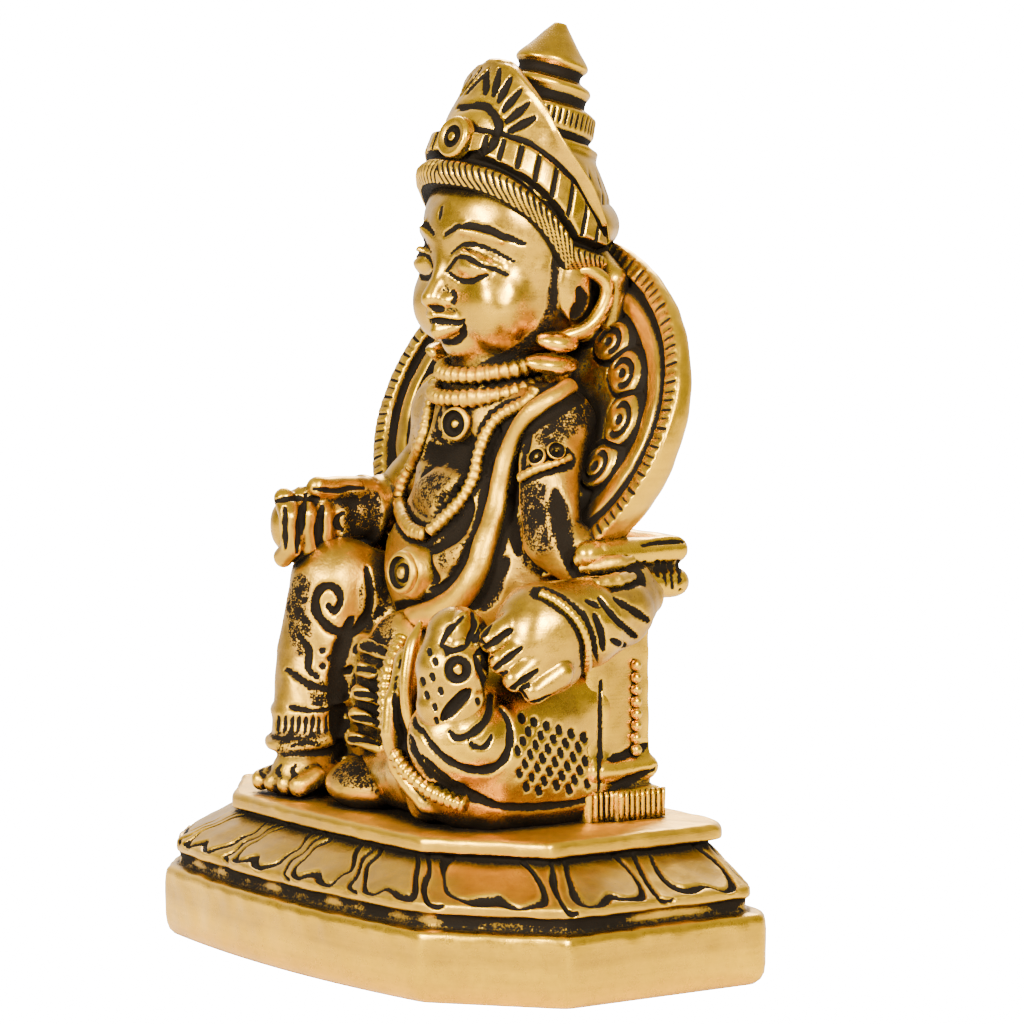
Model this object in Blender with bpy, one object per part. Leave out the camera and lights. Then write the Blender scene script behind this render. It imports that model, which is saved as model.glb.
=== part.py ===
"""A small seated kubera idol, cast in brass as one piece with its stepped lotus base.

The base is a loft of flat outlines. The figure, its throne back and its halo are closed forms
that overlap, fused by a voxel remesh and thinned, then united with the base.
Metres, +Z up, the figure faces -Y, the origin is the centre of the underside.
"""
import math

import bmesh
import bpy
from mathutils import Euler, Matrix, Vector

# Figure
FIGURE_HEIGHT = 0.0754        # from the slab to the tip of the finial
FIGURE_UNITS = 75.4           # the same height in the figure's own units, so a unit is about 1 mm
FIGURE_SINK = 0.0010          # how far the figure reaches down into the slab
FUSE_GRAIN = 0.0004           # voxel of the remesh that fuses the forms
FIGURE_FACES = 7600           # triangles left on the figure

# Plinth, the plain foot of the base
PLINTH_HALF_WIDTH = 0.0332
PLINTH_FRONT = 0.0172
PLINTH_BACK = 0.0170
PLINTH_HEIGHT = 0.0068
PLINTH_CUT_WIDE = 0.0108      # the cut front corners, along the front
PLINTH_CUT_DEEP = 0.0094      # and along the sides
REAR_CHAMFER = 0.0018
FRONT_BOW = 0.0018            # how far the front swells at its middle
FOOT_ROUND = 0.0008           # inset of the plinth's worn edges

# Lotus tier
GROOVE_DEPTH = 0.0014
GROOVE_HEIGHT = 0.0013
GROOVE_STEP = 0.0001          # height over which the plinth's top runs into the groove
TIER_INSET = 0.0006           # the tier's lip behind the plinth's face
TIER_LIP = 0.0011
TIER_SLOPE = 0.0034           # rise of the petals from the lip to the slab
PETAL_WIDTH = 0.0115
PETAL_SWELL = 0.0008
PETAL_STEPS = 6               # facets across a petal

# Slab that carries the figure
SLAB_HALF_WIDTH = 0.0268
SLAB_FRONT = 0.0130
SLAB_BACK = 0.0165
SLAB_CUT_WIDE = 0.0102
SLAB_CUT_DEEP = 0.0076
SLAB_HEIGHT = 0.0019
SLAB_BOW = 0.0008
SLAB_EDGE = 0.0005

# Colours of the casting
BRASS = (0.80, 0.55, 0.20, 1.0)

TIER_BOTTOM = PLINTH_HEIGHT + GROOVE_HEIGHT
TIER_TOP = TIER_BOTTOM + TIER_LIP + TIER_SLOPE
SLAB_TOP = TIER_TOP + SLAB_HEIGHT
UNIT = FIGURE_HEIGHT / FIGURE_UNITS
SEAT = 14.7                   # height of the slab in the figure's units, which count from the floor
FLOOR = SEAT - FIGURE_SINK / UNIT


def clear_scene():
    """Removes whatever the new file starts with."""
    for thing in list(bpy.data.objects):
        bpy.data.objects.remove(thing)


def brass():
    """The casting's own material."""
    material = bpy.data.materials.new("antique_brass")
    material.use_nodes = True
    shader = material.node_tree.nodes["Principled BSDF"]
    shader.inputs["Base Color"].default_value = BRASS
    shader.inputs["Metallic"].default_value = 1.0
    shader.inputs["Roughness"].default_value = 0.32
    return material


# Base

def run(start, end, pieces):
    """Evenly spaced points from start up to, and not with, end."""
    return [start.lerp(end, i / pieces) for i in range(pieces)]


def petals_along(length):
    """How many whole petals fit a side, at least one."""
    return max(1, round(length / PETAL_WIDTH))


def outline(half_width, front, back, wide, deep, bow, counts):
    """A rectangle with cut corners, as points with a share that says where in a petal each lies."""
    x, cut = half_width, min(REAR_CHAMFER, half_width / 4)
    corners = [
        Vector((x, back - cut)), Vector((x, deep - front)), Vector((x - wide, -front)),
        Vector((wide - x, -front)), Vector((-x, deep - front)), Vector((-x, back - cut)),
        Vector((cut - x, back)), Vector((x - cut, back)),
    ]
    points = []
    for side, petals in enumerate(counts):
        start, end = corners[side], corners[(side + 1) % len(corners)]
        pieces = petals * PETAL_STEPS if petals else 1
        for i, point in enumerate(run(start, end, pieces)):
            if side == 2:
                across = point.x / (x - wide)
                point = point - Vector((0, bow * (1 - across * across)))
            points.append((point, (i % PETAL_STEPS) / PETAL_STEPS if petals else 0.0))
    return points


def swell(points, amount):
    """Moves each point out from the middle by a petal's rounded lobe."""
    moved = []
    for point, share in points:
        lobe = math.sin(math.pi * share) ** 0.7 if share else 0.0
        moved.append((point + point.normalized() * amount * lobe, share))
    return moved


def loft(form, rings, close=True):
    """Skins rings of equally many points, and caps the first and the last."""
    rows = [[form.verts.new(point) for point in ring] for ring in rings]
    count = len(rows[0])
    for low, high in zip(rows, rows[1:]):
        for i in range(count):
            j = (i + 1) % count
            form.faces.new((low[i], low[j], high[j], high[i]))
    if close:
        form.faces.new(list(reversed(rows[0])))
        form.faces.new(rows[-1])


def base_mesh():
    """Plinth, groove, lotus tier and slab, skinned from the underside up."""
    chamfer_run = math.hypot(PLINTH_CUT_WIDE, PLINTH_CUT_DEEP)
    side_run = PLINTH_FRONT + PLINTH_BACK - PLINTH_CUT_DEEP
    front_run = 2 * (PLINTH_HALF_WIDTH - PLINTH_CUT_WIDE)
    side, corner, front = petals_along(side_run), petals_along(chamfer_run), petals_along(front_run)
    counts = [side, corner, front, corner, side, 0, 0, 0]

    def plinth(inset):
        return outline(PLINTH_HALF_WIDTH - inset, PLINTH_FRONT - inset, PLINTH_BACK - inset,
                       PLINTH_CUT_WIDE - inset * 0.6, PLINTH_CUT_DEEP - inset * 0.6, FRONT_BOW, counts)

    def slab(inset):
        return outline(SLAB_HALF_WIDTH - inset, SLAB_FRONT - inset, SLAB_BACK - inset,
                       SLAB_CUT_WIDE - inset * 0.6, SLAB_CUT_DEEP - inset * 0.6, SLAB_BOW, counts)

    lip = swell(plinth(TIER_INSET + PETAL_SWELL), PETAL_SWELL)
    brow = swell(plinth(TIER_INSET + PETAL_SWELL * 1.4), PETAL_SWELL)
    shoulder = [(a[0].lerp(b[0], 0.75), a[1]) for a, b in zip(brow, slab(SLAB_EDGE))]
    levels = [
        (0.0, plinth(FOOT_ROUND)),
        (FOOT_ROUND, plinth(0.0)),
        (PLINTH_HEIGHT - FOOT_ROUND * 0.7, plinth(0.0)),
        (PLINTH_HEIGHT, plinth(FOOT_ROUND * 0.7)),
        (PLINTH_HEIGHT + GROOVE_STEP, plinth(GROOVE_DEPTH)),
        (TIER_BOTTOM, plinth(GROOVE_DEPTH)),
        (TIER_BOTTOM + TIER_LIP * 0.2, lip),
        (TIER_BOTTOM + TIER_LIP, brow),
        (TIER_TOP - TIER_SLOPE * 0.22, swell(shoulder, PETAL_SWELL)),
        (TIER_TOP, slab(SLAB_EDGE * 2)),
        (TIER_TOP + SLAB_EDGE * 0.6, slab(0.0)),
        (SLAB_TOP - SLAB_EDGE, slab(0.0)),
        (SLAB_TOP, slab(SLAB_EDGE)),
    ]
    form = bmesh.new()
    # The outlines run clockwise from above, so each ring is turned to make the faces point out
    loft(form, [[(p.x, p.y, z) for p, _ in reversed(points)] for z, points in levels])
    bmesh.ops.triangulate(form, faces=form.faces[:])
    mesh = bpy.data.meshes.new("base_mesh")
    form.to_mesh(mesh)
    form.free()
    return mesh


# Forms of the figure, in its own units, with heights counted from the floor

def spot(x, y, z):
    """A place of the figure in metres."""
    return Vector((x, y, z - SEAT)) * UNIT + Vector((0, 0, SLAB_TOP))


def frame_at(centre, turn):
    """The placing of a form: its centre, and a turn in degrees about X, Y and Z."""
    angles = Euler([math.radians(a) for a in turn])
    return Matrix.Translation(spot(*centre)) @ angles.to_matrix().to_4x4()


def ball(clay, centre, radii, turn=(0, 0, 0), fine=3):
    """An ellipsoid."""
    size = Matrix.Diagonal((*(r * UNIT for r in radii), 1))
    bmesh.ops.create_icosphere(clay, subdivisions=fine, radius=1, matrix=frame_at(centre, turn) @ size)


def block(clay, low, high):
    """A box between two corners."""
    middle = [(a + b) / 2 for a, b in zip(low, high)]
    size = Matrix.Diagonal((*((b - a) * UNIT for a, b in zip(low, high)), 1))
    bmesh.ops.create_cube(clay, size=1, matrix=Matrix.Translation(spot(*middle)) @ size)


def limb(clay, points, radii, sides=16):
    """A tapering round bar through the points, with a ball at each."""
    places = [spot(*p) for p in points]
    if not isinstance(radii, (list, tuple)):
        radii = [radii] * len(points)
    for place, r in zip(places, radii):
        bmesh.ops.create_icosphere(clay, subdivisions=2, radius=r * UNIT, matrix=Matrix.Translation(place))
    for a, b, ra, rb in zip(places, places[1:], radii, radii[1:]):
        way = b - a
        turn = way.to_track_quat("Z", "Y").to_matrix().to_4x4()
        bmesh.ops.create_cone(clay, cap_ends=True, segments=sides, radius1=ra * UNIT, radius2=rb * UNIT,
                              depth=way.length, matrix=Matrix.Translation((a + b) / 2) @ turn)


def twin(points):
    """The same points on the figure's other side."""
    return [(-x, y, z) for x, y, z in points]


def ring_of(clay, centre, radius, wire, turn=(0, 0, 0), sides=20):
    """A round ring of wire."""
    place = frame_at(centre, turn)
    rows = []
    for i in range(sides):
        a = math.tau * i / sides
        row = []
        for j in range(8):
            b = math.tau * j / 8
            reach = (radius + wire * math.cos(b)) * UNIT
            row.append(clay.verts.new(place @ Vector((reach * math.cos(a), reach * math.sin(a),
                                                      wire * UNIT * math.sin(b)))))
        rows.append(row)
    for row, after in zip(rows, rows[1:] + rows[:1]):
        for j in range(8):
            k = (j + 1) % 8
            clay.faces.new((row[j], after[j], after[k], row[k]))


# The crown is turned about an axis that leans back, and its bands dip towards the ears

CROWN_FOOT = (0, 9.75, 72.0)
CROWN_LEAN = (0, 0.2786, 0.9604)
CROWN_PROFILE = [(0.0, 9.2), (2.7, 8.6), (5.3, 6.9), (5.8, 6.5), (6.7, 6.5), (7.2, 5.3),
                 (7.9, 5.7), (9.8, 5.6), (10.4, 4.2), (11.2, 4.2), (11.9, 4.6), (12.4, 4.4), (13.0, 3.1),
                 (13.6, 3.1), (14.2, 3.7), (14.6, 3.6), (18.6, 0.5)]
DIADEM_REACH = 117            # degrees from the front at which the diadem ends
DIADEM_HEIGHTS = [(0, 13.1), (22, 12.6), (41, 11.5), (59, 9.0), (71, 6.6), (84, 4.8), (96, 3.0), (110, 0.3),
                  (117, -1.6)]


def between(table, x):
    """Reads a table of pairs by straight lines between them."""
    for (x0, y0), (x1, y1) in zip(table, table[1:]):
        if x <= x1:
            return y0 + (y1 - y0) * (x - x0) / (x1 - x0)
    return table[-1][1]


def crown_radius(h):
    """Radius of the diadem's inner face at a height along the crown's axis."""
    return between([(-8, 9.7), (-3, 9.6), (0, 9.3), (4, 8.7), (6.7, 8.3), (10, 7.1), (14.2, 5.0)], max(h, -8))


def band_height(front, angle, drop=5.2):
    """Height of a band that starts at the front and dips towards the ear, where it levels out."""
    return front - drop * min(abs(angle) / 90, 1.02) ** 3


def on_crown(angle, h, r):
    """A place by degrees from the front, height along the leaning axis and radius from it."""
    a = math.radians(angle)
    lean = Vector(CROWN_LEAN)
    ahead = Vector((0, -lean.z, lean.y))
    return spot(*(Vector(CROWN_FOOT) + lean * h + Vector((math.sin(a) * r, 0, 0)) + ahead * r * math.cos(a)))


def crown(clay):
    """Tall crown of turned rings, with a leaf-shaped diadem and its bands in front."""
    loft(clay, [[on_crown(a * 15, h, r) for a in range(24)] for h, r in CROWN_PROFILE])
    ball(clay, (0, 11.2, 70.2), (9.5, 8.4, 4.6))
    columns = []
    for step in range(-18, 19):
        angle = DIADEM_REACH * step / 18
        foot, rope, line, upper = (band_height(f, angle) for f in (-0.4, 1.3, 2.6, 5.4))
        top = between(DIADEM_HEIGHTS, abs(angle))
        upper = min(upper, top - 0.8)
        line, rope, foot = min(line, upper - 0.6), min(rope, upper - 1.4), min(foot, upper - 2.6)
        profile = [(foot - 0.2, -3.0), (foot, 0.5), (rope, 1.5), (rope + 0.75, 1.2), (line - 0.1, -0.2),
                   (line + 0.5, 1.2), (upper - 0.4, 1.3), (upper, 0.3), (max(upper + 0.4, top - 1.2), 0.9),
                   (top - 0.3, 1.3), (top, 0.6), (top - 0.2, -0.9)]
        columns.append([on_crown(angle, h, crown_radius(h) + out) for h, out in profile])
    loft(clay, columns)
    medal, heart = (on_crown(5, 4.4, r) for r in (crown_radius(4.4) + 1.0, 0))
    turn = (medal - heart).to_track_quat("Z", "Y").to_matrix().to_4x4()
    for reach, rise in ((2.6, 1.2), (1.0, 2.4)):
        bmesh.ops.create_cone(clay, cap_ends=True, segments=20, radius1=reach * UNIT, radius2=reach * 0.8 * UNIT,
                              depth=rise * UNIT, matrix=Matrix.Translation(medal) @ turn)


def head(clay):
    """Skull, a calm idol's face on equal thirds, ears with long lobes and ear discs."""
    ball(clay, (0, 9.6, 66.5), (9.0, 9.0, 9.5))
    ball(clay, (0, 7.6, 61.6), (6.9, 6.0, 4.6))
    ball(clay, (0, 3.6, 58.9), (2.3, 2.0, 1.7))
    limb(clay, [(0, 1.7, 68.2), (0, 0.5, 65.0), (0, -0.3, 63.4)], [0.7, 0.9, 1.15])
    limb(clay, [(0, 0.7, 61.4), (0, 0.9, 61.1)], [0.8, 0.8])
    for side in (1, -1):
        def pair(points):
            return points if side > 0 else twin(points)
        limb(clay, pair([(0.8, 1.5, 68.3), (3.2, 1.2, 69.6), (6.2, 3.5, 68.6)]), [0.6, 0.7, 0.5])
        ball(clay, (3.4 * side, 2.0, 66.7), (1.9, 1.3, 1.0))
        ball(clay, (1.0 * side, 0.5, 63.3), (0.9, 0.9, 0.8))
        limb(clay, pair([(0.2, 0.2, 61.8), (2.5, 1.5, 61.5)]), [0.75, 0.4])
        limb(clay, pair([(0.2, 0.6, 60.4), (2.0, 1.6, 60.7)]), [0.8, 0.45])
        ball(clay, (4.4 * side, 3.6, 63.2), (2.6, 2.2, 2.6))
        limb(clay, pair([(9.3, 9.0, 66.5), (9.9, 10.8, 66.0), (9.6, 11.2, 63.6), (9.2, 9.8, 61.4)]),
             [1.0, 1.1, 1.0, 0.9])
        limb(clay, pair([(8.6, 9.6, 61.6), (8.8, 9.0, 59.6)]), [1.5, 1.6])
        limb(clay, pair([(7.0, 7.6, 58.6), (11.4, 6.6, 58.0)]), [1.3, 1.0])
        limb(clay, pair([(6.0, 13.0, 66.5), (9.4, 13.6, 65.0), (9.6, 13.4, 61.0)]), [2.4, 1.8, 1.6])
    limb(clay, [(0, 8.2, 58.5), (0, 8.0, 54.0)], [4.9, 5.6])


def torso(clay):
    """Round belly, chest and shoulders, under the necklaces, the garland and the thick thread."""
    ball(clay, (0, 6.6, 37.0), (12.6, 9.4, 9.6))
    ball(clay, (0, 7.4, 47.0), (10.4, 6.6, 9.0))
    ball(clay, (0, 7.6, 53.0), (8.0, 5.2, 3.6))
    limb(clay, [(-9.0, 8.0, 51.2), (9.0, 8.0, 51.2)], [3.8, 3.8])
    block(clay, (-11.5, 5.5, FLOOR), (11.5, 12.0, 44.0))


def halo_point(angle, inset, sink):
    """A place on the halo's leaning front face: degrees from its right, inset from the rim, depth."""
    a = math.radians(angle)
    z = 52 + (17.1 - inset * 0.93) * math.sin(a)
    return (24.15 - inset) * math.cos(a), 9.75 + 0.4 * (z - 52) + sink, z


def halo(clay):
    """Upright oval plate behind the shoulders: thicker below, a raised rim, a sunk field, bosses."""
    steps = [360 * i / 56 for i in range(56)]

    def thickness(angle):
        return 1.5 + 0.117 * (17.1 - 17.1 * math.sin(math.radians(angle)))

    rings = [[spot(*halo_point(a, inset, thickness(a))) for a in steps] for inset in (0.0, 0.0)]
    rings[0] = [spot(*halo_point(a, 0.7, thickness(a) + 0.1)) for a in steps]
    for inset, sink in ((0.0, 0.3), (0.3, 0.0), (2.0, 0.0), (2.4, 0.9), (3.2, 0.9), (3.6, 0.4), (5.0, 0.4),
                        (5.4, 1.1)):
        rings.append([spot(*halo_point(a, inset, sink)) for a in steps])
    loft(clay, rings)
    for side in (0, 1):
        for angle in (-24, -4, 16, 37, 58):
            x, y, z = halo_point(angle if side == 0 else 180 - angle, 7.6, 0.7)
            ball(clay, (x, y, z), (2.1, 2.1, 1.1), turn=(68, 0, 0))


def throne(clay):
    """Low back of the throne: a fluted foot, a plain band, a panel and two cross rails above."""
    block(clay, (-19.4, 4.0, FLOOR), (19.4, 11.7, 35.5))
    block(clay, (-20.2, 5.4, FLOOR), (20.2, 12.7, 17.3))
    for z, r, out in ((19.4, 1.25, 19.0), (36.8, 1.5, 18.6), (39.9, 1.5, 18.4)):
        back = 11.3 if z < 30 else 14.9
        limb(clay, [(out, 5.0, z), (out, back, z), (-out, back, z), (-out, 5.0, z)], r)
    block(clay, (-18.6, 5.0, 35.0), (18.6, 14.4, 40.2))
    for side in (1, -1):
        for step in range(7):
            a = side * (19.3 if step else 19.2)
            ball(clay, (a, 10.6, 22.6 + 1.55 * step), (0.7, 0.75, 0.75), fine=2)
        for step in range(8):
            y = 6.6 + 0.9 * step
            limb(clay, [(side * 20.2, y, 15.2), (side * 20.2, y, 16.9)], 0.4, sides=8)


def near_arm(clay):
    """Left arm, with its cuffed hand lying on the mongoose."""
    limb(clay, [(9.6, 7.4, 51.8), (12.2, 4.8, 46.4), (13.8, 4.2, 41.0), (19.4, 8.4, 37.0)], [3.6, 3.0, 3.0, 2.8])
    limb(clay, [(20.4, 10.2, 35.8), (21.4, 6.0, 34.9), (21.6, 2.0, 34.0)], [1.9, 3.6, 4.3])
    limb(clay, [(21.6, 2.0, 34.0), (21.0, -2.2, 33.6)], [4.3, 4.6])
    ball(clay, (21.6, -2.4, 32.4), (3.9, 4.8, 5.0), turn=(-12, 0, 10))
    for start, end in (((21.6, -4.0, 35.6), (20.9, -7.9, 33.1)), ((22.9, -3.9, 33.8), (22.1, -7.6, 31.2)),
                       ((24.0, -3.6, 31.9), (23.2, -6.8, 29.6)), ((24.6, -2.8, 30.0), (24.0, -5.2, 28.4))):
        limb(clay, [start, end], [1.45, 1.3], sides=10)
    ring_of(clay, (21.7, 1.6, 34.1), 4.4, 0.8, turn=(90, 0, 4))
    ring_of(clay, (11.8, 5.0, 47.6), 3.2, 0.6, turn=(14, 14, 0))
    for y in (3.4, 1.6):
        ball(clay, (14.4 - 0.6 * abs(y - 3.4), y, 48.0), (1.2, 1.2, 1.2))


def far_arm(clay):
    """Right arm, bent forward to a closed fist on the raised knee."""
    limb(clay, [(-9.4, 8.0, 51.6), (-11.2, 7.6, 47.0), (-15.6, 6.4, 42.4)], [3.4, 2.9, 2.9])
    limb(clay, [(-15.6, 6.4, 42.4), (-16.0, 1.4, 41.6), (-16.4, -2.0, 40.8)], [2.9, 3.1, 3.1])
    for step in range(4):
        y = -7.4 + 1.95 * step
        limb(clay, [(-15.4, y, 43.3), (-13.9, y - 0.3, 41.6), (-14.1, y, 38.6), (-15.6, y, 37.5)],
             [1.1, 1.15, 1.15, 1.1], sides=10)
    ball(clay, (-16.6, -3.4, 40.5), (3.2, 4.6, 3.9))
    limb(clay, [(-14.6, 1.6, 43.6), (-14.2, -4.2, 44.3)], [1.5, 1.2])
    ring_of(clay, (-16.7, 2.0, 41.4), 3.4, 0.7, turn=(90, 0, 0))


def near_leg(clay):
    """Left leg folded flat on the seat, its knee forward and wrapped in a hemmed cloth."""
    limb(clay, [(10.5, 5.0, 22.6), (13.6, -0.8, 22.6), (14.4, -5.0, 22.2)], [7.2, 6.9, 6.6])
    limb(clay, [(13.8, 5.0, 18.8), (14.2, -3.6, 18.8)], [5.9, 5.6])
    limb(clay, [(13.8, 5.0, 25.2), (14.6, -1.0, 25.4)], [5.9, 5.6])
    limb(clay, [(13.6, -5.6, 19.6), (6.0, -5.4, 18.6), (-1.0, -4.6, 17.6)], [5.0, 4.0, 3.2])
    block(clay, (-4.0, -4.4, FLOOR), (17.6, 6.0, 19.0))
    hem = [(8.6, -8.6, 30.0), (10.0, -11.8, 26.4), (10.2, -12.2, 23.4), (9.4, -10.8, 20.0), (12.6, -9.8, 16.8),
           (17.6, -4.4, 15.6)]
    limb(clay, hem, 0.85, sides=10)
    limb(clay, [(x - 1.5, y + 0.5, z - 0.3) for x, y, z in hem[:4]] + [(9.2, -9.4, 16.2)], 0.9, sides=8)
    ball(clay, (16.2, -8.0, 23.4), (5.2, 5.2, 4.8))


def far_leg(clay):
    """Right leg, its knee raised, with the shin down to a foot on the slab."""
    limb(clay, [(-9.0, 6.0, 27.5), (-12.6, 2.0, 32.5), (-13.8, -2.2, 34.6)], [6.4, 5.2, 4.7])
    limb(clay, [(-13.8, -2.2, 34.6), (-13.6, -4.6, 28.0), (-12.9, -6.6, 20.6)], [4.7, 4.2, 3.5])
    ring_of(clay, (-12.9, -6.6, 20.0), 3.5, 0.7, turn=(10, 0, 0))
    ring_of(clay, (-13.2, -5.7, 23.4), 3.8, 0.5, turn=(14, 0, 0))
    limb(clay, [(-12.6, -5.2, 17.4), (-11.7, -8.2, 16.5)], [3.0, 2.9])
    for step in range(4):
        x = -14.4 + 1.9 * step
        limb(clay, [(x, -8.2, 16.6), (x, -10.8 + 0.25 * step, 15.9)], [1.2, 1.15], sides=8)
    block(clay, (-16.2, -4.4, FLOOR), (-4.0, 6.0, 22.0))


def lap_cloth(clay):
    """Pleated end of the cloth that falls between the legs, with its cord and the rough seat below."""
    ball(clay, (-2.2, -2.6, 24.6), (5.2, 4.0, 8.6))
    for step in range(5):
        z = 29.6 - 2.2 * step
        limb(clay, [(-6.0, -4.2 - 0.3 * step, z - 0.5), (-2.6, -6.4 - 0.35 * step, z + 0.4),
                    (1.4, -5.6 - 0.35 * step, z - 0.3)], [0.75, 0.85, 0.75], sides=8)
    limb(clay, [(6.0, -6.0, 30.2), (3.6, -7.6, 27.4), (2.6, -8.0, 24.0), (3.6, -8.0, 20.6), (6.0, -7.8, 17.4)],
         0.85, sides=8)
    ball(clay, (-2.0, -6.0, 16.6), (5.2, 4.4, 2.8))


def mongoose(clay):
    """Head of the mongoose, nose down over the near knee, with a leaf ear and a ringed eye."""
    limb(clay, [(16.8, -9.0, 33.0), (17.2, -9.8, 30.2), (17.2, -10.9, 26.8)], [3.0, 3.5, 2.5])
    limb(clay, [(18.2, -9.4, 27.6), (18.4, -9.9, 25.2)], [2.2, 1.7])
    ball(clay, (18.6, -9.6, 33.8), (0.9, 1.6, 2.1), turn=(-30, 0, 20))
    ring_of(clay, (19.9, -11.9, 30.6), 1.15, 0.4, turn=(90, 0, 60))


def ornaments(clay):
    """Necklace, pendant, garland, thick thread and navel boss, lying on the body."""
    ring_of(clay, (0, 7.4, 54.6), 6.0, 0.9, turn=(14, 0, 0))
    ball(clay, (0, 2.4, 51.2), (1.7, 1.0, 1.7))
    garland = [(8.6, 4.4, 54.0), (6.0, 2.0, 50.2), (4.4, 0.4, 46.4), (3.4, -1.4, 43.0), (0.4, -2.6, 40.8),
               (-3.0, -1.4, 42.0), (-4.4, 0.6, 46.2), (-5.4, 2.0, 50.2), (-7.4, 4.4, 54.0)]
    limb(clay, garland, 0.9, sides=8)
    thread = [(11.6, 3.6, 54.4), (8.8, 1.0, 51.6), (8.2, 0.2, 48.6), (8.4, -0.4, 44.6), (8.6, -1.6, 40.0),
              (7.2, -2.6, 36.4), (3.0, -3.4, 32.6), (-3.0, -3.2, 32.6)]
    limb(clay, thread, [0.9, 1.1, 1.3, 1.3, 1.3, 1.2, 1.0, 0.9], sides=8)
    limb(clay, [(0, -1.8, 37.4), (0, -3.6, 37.4)], [2.1, 1.6])


def figure_object():
    """All forms of the figure, fused into one skin and thinned."""
    clay = bmesh.new()
    for make in (crown, head, torso, halo, throne, near_arm, far_arm, near_leg, far_leg, lap_cloth, mongoose,
                 ornaments):
        make(clay)
    bmesh.ops.recalc_face_normals(clay, faces=clay.faces[:])
    mesh = bpy.data.meshes.new("figure_mesh")
    clay.to_mesh(mesh)
    clay.free()
    figure = bpy.data.objects.new("figure", mesh)
    bpy.context.collection.objects.link(figure)
    fuse = figure.modifiers.new("fuse", "REMESH")
    fuse.mode = "VOXEL"
    fuse.voxel_size = FUSE_GRAIN
    bake(figure)
    keep_outer_skin(figure.data)
    soften = figure.modifiers.new("soften", "SMOOTH")
    soften.factor = 0.5
    soften.iterations = 1
    bake(figure)
    thin = figure.modifiers.new("thin", "DECIMATE")
    thin.ratio = min(1.0, FIGURE_FACES / sum(len(p.vertices) - 2 for p in figure.data.polygons))
    thin.use_collapse_triangulate = True
    bake(figure)
    return figure


def bake(thing):
    """Puts an object's modifiers into its mesh."""
    graph = bpy.context.evaluated_depsgraph_get()
    mesh = bpy.data.meshes.new_from_object(thing.evaluated_get(graph))
    thing.modifiers.clear()
    thing.data = mesh


def keep_outer_skin(mesh):
    """Drops the small closed shells that the fusing leaves in sealed gaps between the forms."""
    form = bmesh.new()
    form.from_mesh(mesh)
    form.verts.ensure_lookup_table()
    seen, shells = set(), []
    for vert in form.verts:
        if vert.index in seen:
            continue
        shell, queue = [], [vert]
        seen.add(vert.index)
        while queue:
            here = queue.pop()
            shell.append(here)
            for edge in here.link_edges:
                there = edge.other_vert(here)
                if there.index not in seen:
                    seen.add(there.index)
                    queue.append(there)
        shells.append(shell)
    shells.sort(key=len)
    spare = [v for shell in shells[:-1] for v in shell]
    bmesh.ops.delete(form, geom=spare, context="VERTS")
    form.to_mesh(mesh)
    form.free()


def statue():
    """The casting: the base with the figure united to it."""
    figure = figure_object()
    body = bpy.data.objects.new("kubera_statue", base_mesh())
    bpy.context.collection.objects.link(body)
    unite = body.modifiers.new("unite", "BOOLEAN")
    unite.operation = "UNION"
    unite.solver = "EXACT"
    unite.object = figure
    bake(body)
    bpy.data.objects.remove(figure)
    body.data.materials.clear()
    body.data.materials.append(brass())
    body.data.set_sharp_from_angle(angle=math.radians(50))
    return body


clear_scene()
statue()
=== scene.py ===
# %% [markdown]
# # A small kubera, cast in brass
#
# The real thing is a hand-sized idol: one pour of brass, chased with punches and files, darkened, and
# rubbed bright again on everything that stands proud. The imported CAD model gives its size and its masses.
# This lesson builds the skin that is seen: the same casting with its carving, its cords and beads, and the
# black that is left in every hollow.

# %% Load the frame
import math

import bpy
import numpy as np
from mathutils import Euler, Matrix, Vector


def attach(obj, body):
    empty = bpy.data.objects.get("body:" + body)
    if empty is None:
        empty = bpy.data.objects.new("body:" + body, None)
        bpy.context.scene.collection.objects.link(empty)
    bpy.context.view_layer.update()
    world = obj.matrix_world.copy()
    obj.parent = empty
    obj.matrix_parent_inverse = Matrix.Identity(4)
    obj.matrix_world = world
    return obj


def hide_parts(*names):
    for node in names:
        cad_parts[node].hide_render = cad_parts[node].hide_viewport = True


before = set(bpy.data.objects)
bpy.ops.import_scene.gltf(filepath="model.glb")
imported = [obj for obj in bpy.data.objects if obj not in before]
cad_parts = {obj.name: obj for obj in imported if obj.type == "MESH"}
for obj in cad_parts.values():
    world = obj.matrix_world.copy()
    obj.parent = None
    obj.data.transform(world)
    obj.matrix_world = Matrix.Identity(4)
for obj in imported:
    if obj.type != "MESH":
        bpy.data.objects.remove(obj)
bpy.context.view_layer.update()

# %% [markdown]
# ## The photograph's eye
#
# The camera comes first, because some of the carving is laid out as it is seen from it. It stands about half
# a metre off, at the idol's left front and a little above the middle, with a long lens. Working in
# millimetres keeps the numbers easy to read; a mesh is turned into metres only when it is made.

# %% Camera
MM = 0.001
FRAME_SIDE = 1024                 # the picture is square
FOCAL_PIXELS = 5311
EYE = np.array([421.19, -285.89, 93.4])
AZIMUTH, PITCH = math.radians(55), math.radians(5.7)
RIGHT = np.array([math.cos(AZIMUTH), math.sin(AZIMUTH), 0])
AHEAD = np.array([-math.sin(AZIMUTH) * math.cos(PITCH), math.cos(AZIMUTH) * math.cos(PITCH),
                  -math.sin(PITCH)])
ABOVE = np.cross(RIGHT, AHEAD)


def seen(places):
    """Where places show in the picture: the way across and down, divided by the way ahead, times the focal
    length."""
    ray = places - EYE
    ahead = ray @ AHEAD
    return FRAME_SIDE / 2 + FOCAL_PIXELS * np.stack([ray @ RIGHT, -(ray @ ABOVE)], -1) / ahead[..., None]


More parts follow.
